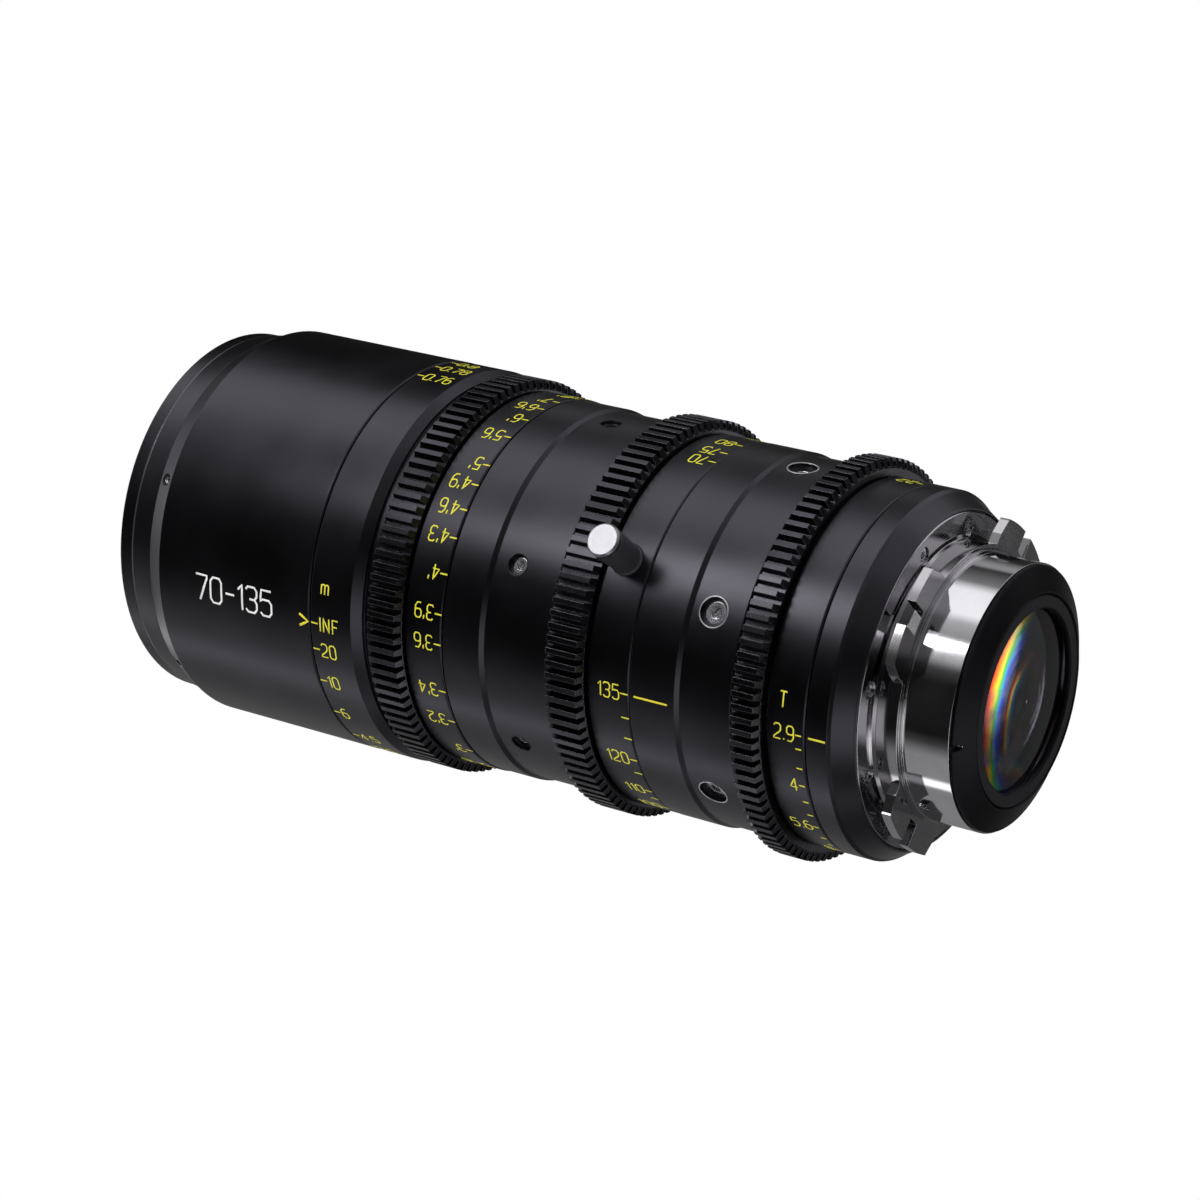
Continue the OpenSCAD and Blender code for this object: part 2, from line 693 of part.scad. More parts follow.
// Zoom mechanism: a cam tube turns inside the main tube and moves two groups

cam_r = tube_bore_r - run_gap;
cam_wall = 2.1;
cam_bore_r = cam_r - cam_wall;
cam_nose_len = 9;                                  // cam tube in front of the variator's slots
cam_front_x = variator_pin_x - variator_travel - cam_nose_len;
cam_back_x = rear_screw_x;
group_r = cam_bore_r - run_gap;
cam_steps = 24;

// Corner of a helical cutter at the share t of its path, on one side of it, at radius r
function helix_point(x1, travel, turn, t, side, r, mid_r) =
    let (slope = atan(travel / (turn * PI / 180 * mid_r)),
        x = x1 - travel * t + side * cos(slope),
        a = turn * t + side * sin(slope) / mid_r * 180 / PI)
    [x, r * cos(a), r * sin(a)];

// Cuts the path of a follower: forwards by travel while the angle grows by turn
module helix_cut(x1, travel, angle, turn, r0, r1, steps) {
    mid_r = (r0 + r1) / 2;
    half = follower_r + 2 * run_gap;
    spare = half / norm([travel, turn * PI / 180 * mid_r]);
    ends = [for (i = [0 : steps]) -spare + (1 + 2 * spare) * i / steps];
    corner_sides = [-half, half, half, -half];
    corner_radii = [r0, r0, r1, r1];
    rotate([angle, 0, 0]) polyhedron(
        points = [for (t = ends) for (k = [0 : 3])
            helix_point(x1, travel, turn, t, corner_sides[k], corner_radii[k], mid_r)],
        faces = concat(
            [[0, 1, 2], [0, 2, 3]],
            [for (i = [0 : steps - 1]) for (k = [0 : 3]) for (half_face = [0, 1])
                let (p = 4 * i + k, q = 4 * i + (k + 1) % 4)
                half_face == 0 ? [p, p + 4, q] : [q, p + 4, q + 4]],
            [[4 * steps + 2, 4 * steps + 1, 4 * steps], [4 * steps + 3, 4 * steps + 2, 4 * steps]]));
}

module cam_tube() {
    color(brass_col) difference() {
        ring(cam_front_x, cam_back_x, cam_bore_r, cam_r);
        for (i = [0 : follower_count - 1]) {
            helix_cut(variator_pin_x, variator_travel, i * follower_step, zoom_turn,
                cam_bore_r - over, cam_r + over, cam_steps);
            helix_cut(compensator_pin_x, compensator_travel, compensator_angle + i * follower_step, zoom_turn,
                cam_bore_r - over, cam_r + over, cam_steps);
        }
        spoke(zoom_key_x, zoom_key_angle, cam_bore_r - over, cam_r + over, key_r + seat_gap);
    }
}

group_glass_r = group_r - cell_wall - seat_gap;
variator_middle_t = 1.35;
variator_rear_middle_t = 0.75;
variator_glass_t = variator_middle_t + sag(group_glass_r, second_face_r) + sag(group_glass_r, focus_face_r);
variator_rear_t = variator_rear_middle_t + sag(group_glass_r, second_face_r) + sag(group_glass_r, far_face_r);
variator_cell_len = edge + variator_glass_t + variator_rear_t + 2 * seat_gap + cell_lip;
variator_cell_tail = 6;
variator_cell_x1 = variator_pin_x + variator_cell_tail;
compensator_cell_len = 10;
compensator_cell_tail = 4.6;
compensator_cell_x1 = compensator_pin_x + compensator_cell_tail;

module variator_cell() {
    color(body_col) group_cell(variator_cell_x1 - variator_cell_len, variator_cell_x1, group_r,
        variator_pin_x, 0);
}

module variator_element() {
    x0 = variator_cell_x1 - variator_cell_len;
    color(glass_col) element(x0 + edge, x0 + edge + variator_glass_t, group_glass_r,
        -second_face_r, -focus_face_r);
}

module variator_rear_element() {
    x0 = variator_cell_x1 - variator_cell_len + edge + variator_glass_t + seat_gap;
    color(glass_col) element(x0, x0 + variator_rear_t, group_glass_r, -second_face_r, -far_face_r);
}

module variator_followers() {
    color(brass_col) followers(variator_pin_x, group_r, 0, tube_r - run_gap);
}

module compensator_cell() {
    color(body_col) group_cell(compensator_cell_x1 - compensator_cell_len, compensator_cell_x1, group_r,
        compensator_pin_x, compensator_angle);
}

module compensator_element() {
    x0 = compensator_cell_x1 - compensator_cell_len;
    color(glass_col) element(x0 + edge, compensator_cell_x1 - cell_lip - seat_gap, group_glass_r,
        focus_face_r, -far_face_r);
}

module compensator_followers() {
    color(brass_col) followers(compensator_pin_x, group_r, compensator_angle, tube_r - run_gap);
}

// Iris: nine blades turn on pivots in a fixed base; a lever on each pivot has a pin
// in a spiral slot of the driving ring, and the cover closes the stack at the back

blade_count = 9;
iris_step = 360 / blade_count;
blade_t = 0.16;
blade_pitch = 0.24;                                // axial step from one blade to the next
blade_swing_angle = 34.8;                                // turn of a blade from open to closed
blade_pivot_inset = 2.8;
blade_pivot_r = tube_bore_r - blade_pivot_inset;
blade_edge_inset = 1.6;
blade_outer_r = blade_pivot_r - blade_edge_inset;
blade_w = 7.6;
blade_inner_r = blade_outer_r - blade_w;
blade_start_angle = -4;                                  // angle at which a blade begins, from its pivot
blade_span_angle = 108;
blade_ear_r = 1.4;
blade_pin_r = 0.6;
iris_plate_t = 1.4;
iris_cover_lap = 0.4;                              // how far the open blades show inside the plates
iris_open_r = blade_inner_r + iris_cover_lap;
lever_arm = 8;
lever_arm_angle = 95;                              // direction of the lever at rest
lever_arm_half = 0.9;
lever_arm_t = 0.7;
neck_share = 0.8;                                  // width of a neck as a share of the eye that it joins
drive_pin_r = 0.45;
drive_steps = 20;
spare_share = 0.02;                                // how far a spiral slot runs past the swing at each end
drive_rim_wall = 1.3;
drive_rim_r = tube_bore_r - drive_rim_wall;        // inside of the driving ring's rim
drive_plate_t = 1.5;
drive_key_margin = 0.6;                            // ring beyond the key's hole
drive_x0 = iris_key_x - key_r - drive_key_margin;
drive_x1 = iris_key_x + key_r + drive_key_margin / 2;
lever_arm_x = drive_x0 + drive_plate_t + blade_pitch;
iris_base_x = drive_x1 + blade_pitch;
blade_x = iris_base_x + iris_plate_t + blade_pitch - blade_t;
iris_cover_x = blade_x + blade_count * blade_pitch;

module iris_base() {
    color(body_col) difference() {
        ring(iris_base_x, iris_base_x + iris_plate_t, iris_open_r, tube_bore_r - seat_gap);
        for (i = [0 : blade_count - 1])
            rotate([i * iris_step, 0, 0]) translate([0, blade_pivot_r, 0])
                bar(iris_base_x - over, iris_base_x + iris_plate_t + over, blade_pin_r + run_gap);
    }
}

module iris_cover() {
    color(body_col) ring(iris_cover_x, tube_back_x - tube_plate_t - seat_gap, iris_open_r,
        tube_bore_r - seat_gap);
}

// Place of a lever's pin after the share t of the swing, as [y, z] from the axis
function drive_pin(t) = let (a = lever_arm_angle + blade_swing_angle * t)
    [blade_pivot_r + lever_arm * cos(a), lever_arm * sin(a)];
// The same place in the driving ring, which has turned back by its share, moved outwards by d
function drive_path(t, d) = let (p = drive_pin(t), a = atan2(p[1], p[0]) + iris_turn * t, r = norm(p) + d)
    [r * cos(a), r * sin(a)];

module iris_drive_ring() {
    half = drive_pin_r + run_gap;
    shares = [for (i = [0 : drive_steps]) -spare_share + (1 + 2 * spare_share) * i / drive_steps];
    color(brass_col) difference() {
        turned([
            [drive_x0, iris_open_r], [drive_x0, tube_bore_r - run_gap], [drive_x1, tube_bore_r - run_gap],
            [drive_x1, drive_rim_r], [drive_x0 + drive_plate_t, drive_rim_r],
            [drive_x0 + drive_plate_t, iris_open_r]]);
        for (i = [0 : blade_count - 1])
            rotate([i * iris_step, 0, 0])
                plate(drive_x0 - over, drive_plate_t + 2 * over) polygon(concat(
                    [for (t = shares) drive_path(t, half)],
                    [for (i = [drive_steps : -1 : 0]) drive_path(shares[i], -half)]));
        spoke(iris_key_x, iris_key_angle, drive_rim_r - over, tube_r, key_r + seat_gap);
    }
}

// Lays an outline flat across the axis at x, with its first direction along +Y
module plate(x, t) {
    rotate([0, 90, 0]) rotate([0, 0, 90]) translate([0, 0, x]) linear_extrude(height = t) children();
}

module blade_outline() {
    reach = 2 * blade_outer_r;
    intersection() {
        difference() {
            circle(r = blade_outer_r);
            circle(r = blade_inner_r);
        }
        polygon(concat([[0, 0]], [for (a = [0, blade_span_angle / 2, blade_span_angle])
            [reach * cos(a + blade_start_angle), reach * sin(a + blade_start_angle)]]));
    }
    translate([blade_pivot_r, 0]) circle(r = blade_ear_r);
    translate([blade_outer_r - blade_ear_r, -blade_ear_r * neck_share])
        square([blade_pivot_r - blade_outer_r + blade_ear_r, 2 * blade_ear_r * neck_share]);
}

module blade_lever_outline() {
    pin = drive_pin(0);
    translate([blade_pivot_r, 0]) {
        circle(r = lever_arm_half);
        rotate(lever_arm_angle) translate([0, -lever_arm_half * neck_share])
            square([lever_arm, 2 * lever_arm_half * neck_share]);
    }
    translate(pin) circle(r = lever_arm_half);
}

// Blade number n, in its own plane so that it passes over its neighbours
module iris_blade(n) {
    x0 = blade_x + (n - 1) * blade_pitch;
    pin = drive_pin(0);
    color(steel_col) rotate([(n - 1) * iris_step, 0, 0]) {
        plate(x0, blade_t) blade_outline();
        plate(lever_arm_x, lever_arm_t) blade_lever_outline();
        translate([0, blade_pivot_r, 0]) bar(lever_arm_x + lever_arm_t / 2, x0 + blade_t / 2, blade_pin_r);
        translate([0, pin[0], pin[1]]) bar(drive_x0 + edge, lever_arm_x + lever_arm_t / 2, drive_pin_r);
    }
}

module iris_blade_1() { iris_blade(1); }
module iris_blade_2() { iris_blade(2); }
module iris_blade_3() { iris_blade(3); }
module iris_blade_4() { iris_blade(4); }
module iris_blade_5() { iris_blade(5); }
module iris_blade_6() { iris_blade(6); }
module iris_blade_7() { iris_blade(7); }
module iris_blade_8() { iris_blade(8); }
module iris_blade_9() { iris_blade(9); }

// Rear barrel and mount

mount_base_step = 0.2;
mount_base_r = wing_r + mount_base_step;
hub_step = 1.6;
hub_r = mount_barrel_r + hub_step;
hub_fillet = 1;
fillet_share = 0.3;                                // how far the fillet's middle point stands out
collar_step = 0.7;
collar_r = mount_barrel_r + collar_step;           // thin step at the foot of the mount barrel
collar_h = 0.5;
wing_root_flare = 2;                               // how much wider a wing grows towards its root
slot_floor_step = 0.7;
slot_floor_r = hub_r + slot_floor_step;
wing_count = 4;
mount_screw_step = 2.2;
mount_screw_circle_r = hub_r + mount_screw_step;
mount_screw_angle = 17;                           // each pair of screws lies either side of a gap
mount_screw_angles = [for (i = [0 : wing_count - 1]) for (s = [-1, 1])
    i * 360 / wing_count + s * mount_screw_angle];
mount_screw_head_r = 1.7;
mount_screw_head_h = 1.4;
mount_screw_shank_r = 1;
mount_screw_grip = 2.6;                            // depth of the screw in the main tube
cone_step = 0.6;

module rear_barrel() {
    x0 = rear_x + seam_gap / 2;
    cone_x = base_face_x - rear_cone_len;
    color(body_col) turned([
        [x0, sleeve_bore_r], [x0, iris_band_r - edge / 2], [x0 + edge / 2, iris_band_r],
        [cone_x, iris_band_r], [cone_x + cone_step, iris_band_r - cone_step],
        [base_face_x - edge, mount_base_r + cone_step],
        [base_face_x, mount_base_r + edge], [base_face_x, mount_base_r + seat_gap],
        [base_back_x, mount_base_r + seat_gap], [base_back_x, sleeve_bore_r]]);
}

module wing_outline(slot_w) {
    difference() {
        intersection() {
            circle(r = wing_r);
            polygon([[0, -wing_w / 2 - wing_root_flare], [hub_r, -wing_w / 2 - wing_root_flare / 2],
                [wing_r - wing_root_flare, -wing_w / 2], [wing_r + over, -wing_w / 2],
                [wing_r + over, wing_w / 2], [wing_r - wing_root_flare, wing_w / 2],
                [hub_r, wing_w / 2 + wing_root_flare / 2], [0, wing_w / 2 + wing_root_flare]]);
        }
        translate([slot_floor_r, -slot_w / 2]) square([wing_r, slot_w]);
    }
}

module pl_mount() {
    color(chrome_col) difference() {
        union() {
            turned([
                [base_back_x, 0], [base_back_x, mount_base_r], [base_face_x - edge, mount_base_r],
                [base_face_x, mount_base_r - edge], [base_face_x, hub_r + hub_fillet],
                [base_face_x + hub_fillet * fillet_share, hub_r + hub_fillet * fillet_share],
                [base_face_x + hub_fillet, hub_r],
                [0, hub_r], [0, collar_r], [collar_h, collar_r], [collar_h, mount_barrel_r],
                [mount_barrel_len, mount_barrel_r], [mount_barrel_len, 0]]);
            for (i = [0 : wing_count - 1])
                rotate([(i + 0.5) * 360 / wing_count, 0, 0]) rotate([0, 90, 0]) rotate([0, 0, 90])
                    translate([0, 0, -wing_t])
                        linear_extrude(height = wing_t) wing_outline(i == 1 ? index_slot_w : wing_slot_w);
        }
        bar(base_back_x - over, mount_barrel_len + over, mount_bore_r);
        for (a = mount_screw_angles) rotate([a, 0, 0]) translate([0, mount_screw_circle_r, 0]) {
            bar(base_back_x - over, base_face_x + over, mount_screw_shank_r + seat_gap);
            bar(base_face_x - mount_screw_head_h - edge, base_face_x + over, mount_screw_head_r + seat_gap);
        }
        spoke(dimple_x, dimple_angle, mount_barrel_r - dimple_depth, mount_barrel_r + over, dimple_r);
    }
}
dimple_x = 2.4;
dimple_angle = 218;
dimple_depth = 0.4;
dimple_r = 1.1;

module mount_screws() {
    color(steel_col) for (a = mount_screw_angles)
        rotate([a, 0, 0]) translate([base_face_x - edge, mount_screw_circle_r, 0]) rotate([0, 90, 0])
            socket_screw(mount_screw_head_r, mount_screw_head_h, mount_screw_shank_r,
                mount_base_t + mount_screw_grip - edge, mount_screw_head_r / 2);
}

rear_ring_step = 0.4;
rear_ring_r = mount_barrel_r - rear_ring_step;
rear_ring_lip = 2.9;                               // length of the ring in front of its mouth
rear_ring_flat = 0.65;                             // length of the ring's round part
rear_ring_bevel = 0.25;
rear_ring_bevel_drop = 0.65;
rear_ring_mouth_step = 3.1;
rear_ring_mouth_r = mount_bore_r - rear_ring_mouth_step;
rear_screw_hole_r = 0.66;
rear_screw_angle = 181;
rear_ring_screw_inset = 1;
rear_ring_screw_x = mount_barrel_len + rear_ring_screw_inset;

module rear_ring() {
    x0 = mount_barrel_len + seat_gap;
    x1 = mount_barrel_len + rear_ring_len;
    color(body_col) difference() {
        turned([
            [x0, mount_bore_r], [x0, rear_ring_r], [x0 + rear_ring_flat, rear_ring_r],
            [x0 + rear_ring_flat + rear_ring_bevel, rear_ring_r - rear_ring_bevel_drop],
            [x1, rear_ring_mouth_r + edge], [x1 - edge, rear_ring_mouth_r],
            [x1 - rear_ring_lip, rear_ring_mouth_r], [x1 - rear_ring_lip, mount_bore_r]]);
        spoke(rear_ring_screw_x, rear_screw_angle, rear_screw_top_r - rear_screw_len - seat_gap,
            rear_ring_r + over, rear_screw_hole_r + seat_gap);
    }
}

module rear_ring_screw() {
    color(steel_col) radial(rear_ring_screw_x, rear_screw_angle, rear_screw_top_r)
        socket_screw(rear_screw_hole_r, rear_screw_len / 2, rear_screw_hole_r, rear_screw_len,
            rear_screw_hole_r / 2);
}
rear_screw_len = 1.5;
rear_screw_rise = 3.1;
rear_screw_top_r = rear_ring_mouth_r + rear_screw_rise;

// Rear group, inside the mount
rear_cell_r = mount_bore_r - seat_gap;
rear_cell_nose = 3;                                // rear cell in front of the mount base
rear_cell_x0 = base_back_x - rear_cell_nose;
rear_cell_wall = 3.26;
relay_seat_r = rear_cell_r - rear_cell_wall;
rear_seat_step = 0.3;
rear_seat_r = relay_seat_r - rear_seat_step;
relay_glass_t = 6;
rear_glass_t = 7;
rear_glass_r = rear_seat_r - seat_gap;
rear_mouth_step = 2.5;
rear_mouth_r = rear_seat_r - rear_mouth_step;
rear_cell_x1 = mount_barrel_len + rear_ring_len - rear_ring_lip - seat_gap;
rear_retainer_rise = 2.8;                          // how far the retainer stands out of the rear cell
rear_retainer_t = 1.35;
rear_retainer_x1 = rear_cell_x1 + rear_retainer_rise;
rear_retainer_x0 = rear_retainer_x1 - rear_retainer_t;
rear_retainer_r = rear_ring_mouth_r - seat_gap;
rear_glass_x0 = rear_retainer_x0 - rear_glass_t;

module rear_cell() {
    relay_end = rear_cell_x0 + edge + relay_glass_t;
    color(body_col) turned([
        [rear_cell_x0, relay_seat_r], [rear_cell_x0, rear_cell_r], [rear_cell_x1, rear_cell_r],
        [rear_cell_x1, rear_seat_r], [rear_glass_x0, rear_seat_r], [rear_glass_x0, rear_seat_r - cell_lip],
        [relay_end, rear_seat_r - cell_lip], [relay_end, relay_seat_r]]);
}

module relay_element() {
    color(glass_col) element(rear_cell_x0 + edge, rear_cell_x0 + edge + relay_glass_t - seat_gap,
        relay_seat_r - seat_gap, focus_face_r, -far_face_r);
}

module rear_element() {
    apex = rear_retainer_x0 - seat_gap + sag(rear_mouth_r, rear_face_r);
    color(glass_col) element(rear_glass_x0 + seat_gap, apex, rear_glass_r, -far_face_r, rear_face_r);
}

module rear_retainer() {
    x0 = rear_retainer_x0;
    x1 = rear_retainer_x1;
    color(body_col) turned([[x0, rear_mouth_r], [x0, rear_retainer_r], [x1 - edge, rear_retainer_r],
        [x1, rear_retainer_r - edge], [x1, rear_mouth_r + edge], [x1 - edge, rear_mouth_r]]);
}

front_rim();
front_retainer();
front_barrel();
front_grub_screws();
front_cell();
front_element();
second_element();
focus_ring();
focus_gear();
focus_cell();
focus_element();
focus_followers();
main_tube();
front_sleeve();
front_sleeve_screws();
zoom_ring();
zoom_gear();
zoom_lever();
zoom_lever_cap();
zoom_key();
cam_tube();
variator_cell();
variator_element();
variator_rear_element();
variator_followers();
compensator_cell();
compensator_element();
compensator_followers();
rear_sleeve();
rear_sleeve_screws();
iris_ring();
iris_gear();
iris_key();
iris_drive_ring();
iris_base();
iris_cover();
iris_blade_1();
iris_blade_2();
iris_blade_3();
iris_blade_4();
iris_blade_5();
iris_blade_6();
iris_blade_7();
iris_blade_8();
iris_blade_9();
rear_barrel();
pl_mount();
mount_screws();
rear_ring();
rear_ring_screw();
rear_cell();
relay_element();
rear_element();
rear_retainer();
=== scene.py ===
import json
import math
import bmesh
import bpy
from mathutils import Matrix, Vector


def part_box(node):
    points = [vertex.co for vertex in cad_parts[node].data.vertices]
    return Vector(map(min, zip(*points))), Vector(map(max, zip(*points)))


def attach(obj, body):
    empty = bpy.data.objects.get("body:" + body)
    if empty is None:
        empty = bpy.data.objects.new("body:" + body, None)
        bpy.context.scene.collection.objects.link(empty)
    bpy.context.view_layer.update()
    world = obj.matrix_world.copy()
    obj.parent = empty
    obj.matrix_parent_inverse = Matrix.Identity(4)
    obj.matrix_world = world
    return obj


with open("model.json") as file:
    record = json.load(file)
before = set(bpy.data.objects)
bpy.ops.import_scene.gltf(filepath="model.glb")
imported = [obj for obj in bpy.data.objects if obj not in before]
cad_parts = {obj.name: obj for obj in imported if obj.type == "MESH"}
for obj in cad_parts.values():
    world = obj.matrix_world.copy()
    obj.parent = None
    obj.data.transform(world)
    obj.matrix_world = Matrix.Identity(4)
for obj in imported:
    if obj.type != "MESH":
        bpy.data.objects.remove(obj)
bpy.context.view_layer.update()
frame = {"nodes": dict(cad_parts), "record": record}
nodes = frame["nodes"]
scene = bpy.context.scene
mm = 0.001
print("frame loaded:", len(nodes), "nodes")


# colours are written as sRGB hex and turned to linear here
def colour(code):
    parts = [int(code[i:i + 2], 16) / 255 for i in (1, 3, 5)]
    linear = [c / 12.92 if c <= 0.04045 else ((c + 0.055) / 1.055) ** 2.4 for c in parts]
    return (*linear, 1.0)


# settings: lower-case names are the node's own properties, the rest are its sockets. What comes back is the
# output that give names, or the node itself where give is None
def addNode(tree, kind, settings=None, links=None, give=0):
    node = tree.nodes.new(kind)
    for key, value in (settings or {}).items():
        if isinstance(key, str) and key[0].islower():
            setattr(node, key, value)
        else:
            node.inputs[key].default_value = value
    for key, source in (links or {}).items():
        tree.links.new(source, node.inputs[key])
    return node if give is None else node.outputs[give]


# rows of a position from 0 to 1 and a linear colour
def fillRamp(ramp, rows):
    stops = ramp.color_ramp.elements
    while len(stops) > 1:
        stops.remove(stops[-1])
    for number, (position, value) in enumerate(rows):
        stop = stops[0] if number == 0 else stops.new(position)
        stop.position = position
        stop.color = value


def newMaterial(name):
    material = bpy.data.materials.new(name)
    material.use_nodes = True
    tree = material.node_tree
    return material, tree, tree.nodes["Principled BSDF"], addNode(tree, "ShaderNodeTexCoord", give="Object")


# two tones in soft patches
def twoTones(tree, shader, place, size, dark, light):
    patch = addNode(tree, "ShaderNodeTexNoise", {"Scale": 1 / size, "Detail": 3.0}, {"Vector": place}, "Fac")
    tint = addNode(tree, "ShaderNodeMix", {"data_type": "RGBA", 6: colour(dark), 7: colour(light)}, {0: patch}, 2)
    tree.links.new(tint, shader.inputs["Base Color"])


# how far a place lies from the optical axis, each direction by its weight
def fromAxis(tree, place, weights=(0, 1, 1)):
    weighted = addNode(tree, "ShaderNodeVectorMath", {"operation": "MULTIPLY", 1: weights}, {0: place})
    return addNode(tree, "ShaderNodeVectorMath", {"operation": "LENGTH"}, {0: weighted}, "Value")


# numbers that all the metals share. A noise node's value stays mostly inside noiseRange. Slant lets the marks run
# round a cylinder and round a flat face alike; sharp is how far the normals of an edge agree, and of a face
noiseRange = {"From Min": 0.3, "From Max": 0.7}
# the lighter edge colour and its amount below are partly wear and partly a painted edge highlight
metals = {"slant": 1.7, "sharp": (0.86, 0.995), "bevelSamples": 6, "bumpDepth": 0.02 * mm, "roughSpread": 0.03,
          "gritRough": 0.08, "marksRough": 0.06, "handled": 6 * mm, "leastWear": 0.15, "wornAndHighlitEdge": "#8f8f94",
          "wearAndHighlight": 0.35, "fade": 0.2 * mm}


# fine marks of the lathe: lines that run round an axis, uneven like real ones
def turnedMarks(tree, place, spacing, centre=(0, 0, 0), axis=(1, 0, 0)):
    rel = addNode(tree, "ShaderNodeVectorMath", {"operation": "SUBTRACT", 1: centre}, {0: place})
    across = addNode(tree, "ShaderNodeVectorMath", {"operation": "CROSS_PRODUCT", 1: axis}, {0: rel})
    radius = addNode(tree, "ShaderNodeVectorMath", {"operation": "LENGTH"}, {0: across}, "Value")
    along = addNode(tree, "ShaderNodeVectorMath", {"operation": "DOT_PRODUCT", 1: axis}, {0: rel}, "Value")
    step = addNode(tree, "ShaderNodeMath", {"operation": "MULTIPLY_ADD", 1: metals["slant"]}, {0: along, 2: radius})
    return addNode(tree, "ShaderNodeTexNoise", {"noise_dimensions": "1D", "Scale": 1 / spacing, "Detail": 3.0},
                   {"W": step}, "Fac")


# where an edge is sharp the rounded normal leaves the true one: 0 on a face, 1 on the edge
def edgeMask(tree, width):
    rounded = addNode(tree, "ShaderNodeBevel", {"samples": metals["bevelSamples"], "Radius": width})
    true = addNode(tree, "ShaderNodeNewGeometry", give="Normal")
    same = addNode(tree, "ShaderNodeVectorMath", {"operation": "DOT_PRODUCT"}, {0: rounded, 1: true}, "Value")
    atEdge, atFace = metals["sharp"]
    return addNode(tree, "ShaderNodeMapRange", {"From Min": atEdge, "From Max": atFace, "To Min": 1.0, "To Max": 0.0},
                   {"Value": same}), rounded


print("materials")


# a metal in two tones whose gloss clouds a little, with lathe marks, and lighter edges: partly wear, partly a painted
# highlight. Where the spec has grit it is blasted too, and its lighter edges show only in patches, where hands have
# been
def metalFinish(spec):
    material, tree, shader, place = newMaterial(spec["name"])
    cloud = addNode(tree, "ShaderNodeTexNoise", {"Scale": 1 / spec["cloud"], "Detail": 3.0}, {"Vector": place}, "Fac")
    tone = addNode(tree, "ShaderNodeMapRange", noiseRange, {"Value": cloud})
    tint = addNode(tree, "ShaderNodeMix", {"data_type": "RGBA", 6: colour(spec["dark"]), 7: colour(spec["light"])},
                   {0: tone}, 2)
    rough = addNode(tree, "ShaderNodeMapRange", {**noiseRange, "To Min": spec["rough"] - metals["roughSpread"],
                    "To Max": spec["rough"] + metals["roughSpread"]}, {"Value": cloud})
    marks = turnedMarks(tree, place, spec["marks"], spec.get("centre", (0, 0, 0)), spec.get("axis", (1, 0, 0)))
    edge, normal = edgeMask(tree, spec["edge"])
    if "grit" in spec:                      # real grit is near 0.05 mm: coarser here, so that it shows
        grit = addNode(tree, "ShaderNodeTexNoise", {"Scale": 1 / spec["grit"], "Detail": 1.0}, {"Vector": place}, "Fac")
        rough = addNode(tree, "ShaderNodeMath", {"operation": "MULTIPLY_ADD", 1: metals["gritRough"]},
                        {0: grit, 2: rough})
        normal = addNode(tree, "ShaderNodeBump", {"Strength": spec["gritHeight"], "Distance": metals["bumpDepth"]},
                         {"Height": grit, "Normal": normal})
        handled = addNode(tree, "ShaderNodeTexNoise", {"Scale": 1 / metals["handled"], "Detail": 3.0},
                          {"Vector": place}, "Fac")
        handled = addNode(tree, "ShaderNodeMapRange", {**noiseRange, "To Min": metals["leastWear"]}, {"Value": handled})
        edge = addNode(tree, "ShaderNodeMath", {"operation": "MULTIPLY"}, {0: edge, 1: handled})
    else:
        rough = addNode(tree, "ShaderNodeMath", {"operation": "MULTIPLY_ADD", 1: metals["marksRough"]},
                        {0: marks, 2: rough})
    if "ground" in spec:                    # inside this radius the part is ground, outside it stays turned and duller
        outer = addNode(tree, "ShaderNodeMapRange", {"From Min": spec["ground"],
                        "From Max": spec["ground"] + metals["fade"]}, {"Value": fromAxis(tree, place)})
        rough = addNode(tree, "ShaderNodeMath", {"operation": "MULTIPLY_ADD", 1: spec["coarser"]}, {0: outer, 2: rough})
        tint = addNode(tree, "ShaderNodeMix", {"data_type": "RGBA", 7: colour(spec["turnedTint"])},
                       {0: outer, 6: tint}, 2)
    # the lighter edge colour: wear, and a painted highlight along the edges
    shown = addNode(tree, "ShaderNodeMath", {"operation": "MULTIPLY", 1: spec.get("wearAndHighlight", metals["wearAndHighlight"])}, {0: edge})
    tint = addNode(tree, "ShaderNodeMix", {"data_type": "RGBA", 7: colour(spec.get("edgeWearAndHighlight", metals["wornAndHighlitEdge"]))},
                   {0: shown, 6: tint}, 2)
    normal = addNode(tree, "ShaderNodeBump", {"Strength": spec["marksHeight"], "Distance": metals["bumpDepth"]},
                     {"Height": marks, "Normal": normal})
    tree.links.new(tint, shader.inputs["Base Color"])
    tree.links.new(rough, shader.inputs["Roughness"])
    tree.links.new(normal, shader.inputs["Normal"])
    shader.inputs["Metallic"].default_value = spec.get("metal", 1.0)
    return material


finish = {}
# black anodised aluminium: a dyed oxide layer on a blasted or turned part. The eye sees a dark metal with a
# wide soft gloss, a faint cloudiness, and lighter edges: thinned black where handled, and a painted highlight
finish["barrel_black"] = metalFinish({
    "name": "satinBlackAnodisedBarrel", "dark": "#434247", "light": "#4a494f", "rough": 0.28, "cloud": 0.016,
    "grit": 0.00035, "gritHeight": 0.12, "marks": 0.0006, "marksHeight": 0.06, "edge": 0.00022, "wearAndHighlight": 0.35})
finish["ring_black"] = metalFinish({
    "name": "satinBlackAnodisedRing", "dark": "#434247", "light": "#4a494f", "rough": 0.28, "cloud": 0.012,
    "grit": 0.00035, "gritHeight": 0.12, "marks": 0.0006, "marksHeight": 0.06, "edge": 0.00022, "wearAndHighlight": 0.4})
finish["gear_black"] = metalFinish({
    "name": "milledBlackAnodisedTeeth", "dark": "#434247", "light": "#4d4c52", "rough": 0.24, "cloud": 0.006,
    "grit": 0.00035, "gritHeight": 0.08, "marks": 0.0005, "marksHeight": 0.06, "edge": 0.00018, "wearAndHighlight": 0.6})
finish["cell_black"] = metalFinish({
    "name": "mattBlackAnodisedCell", "dark": "#1c1c1f", "light": "#242428", "rough": 0.42, "cloud": 0.010,
    "grit": 0.0004, "gritHeight": 0.4, "marks": 0.0006, "marksHeight": 0.2, "edge": 0.0002, "wearAndHighlight": 0.2})
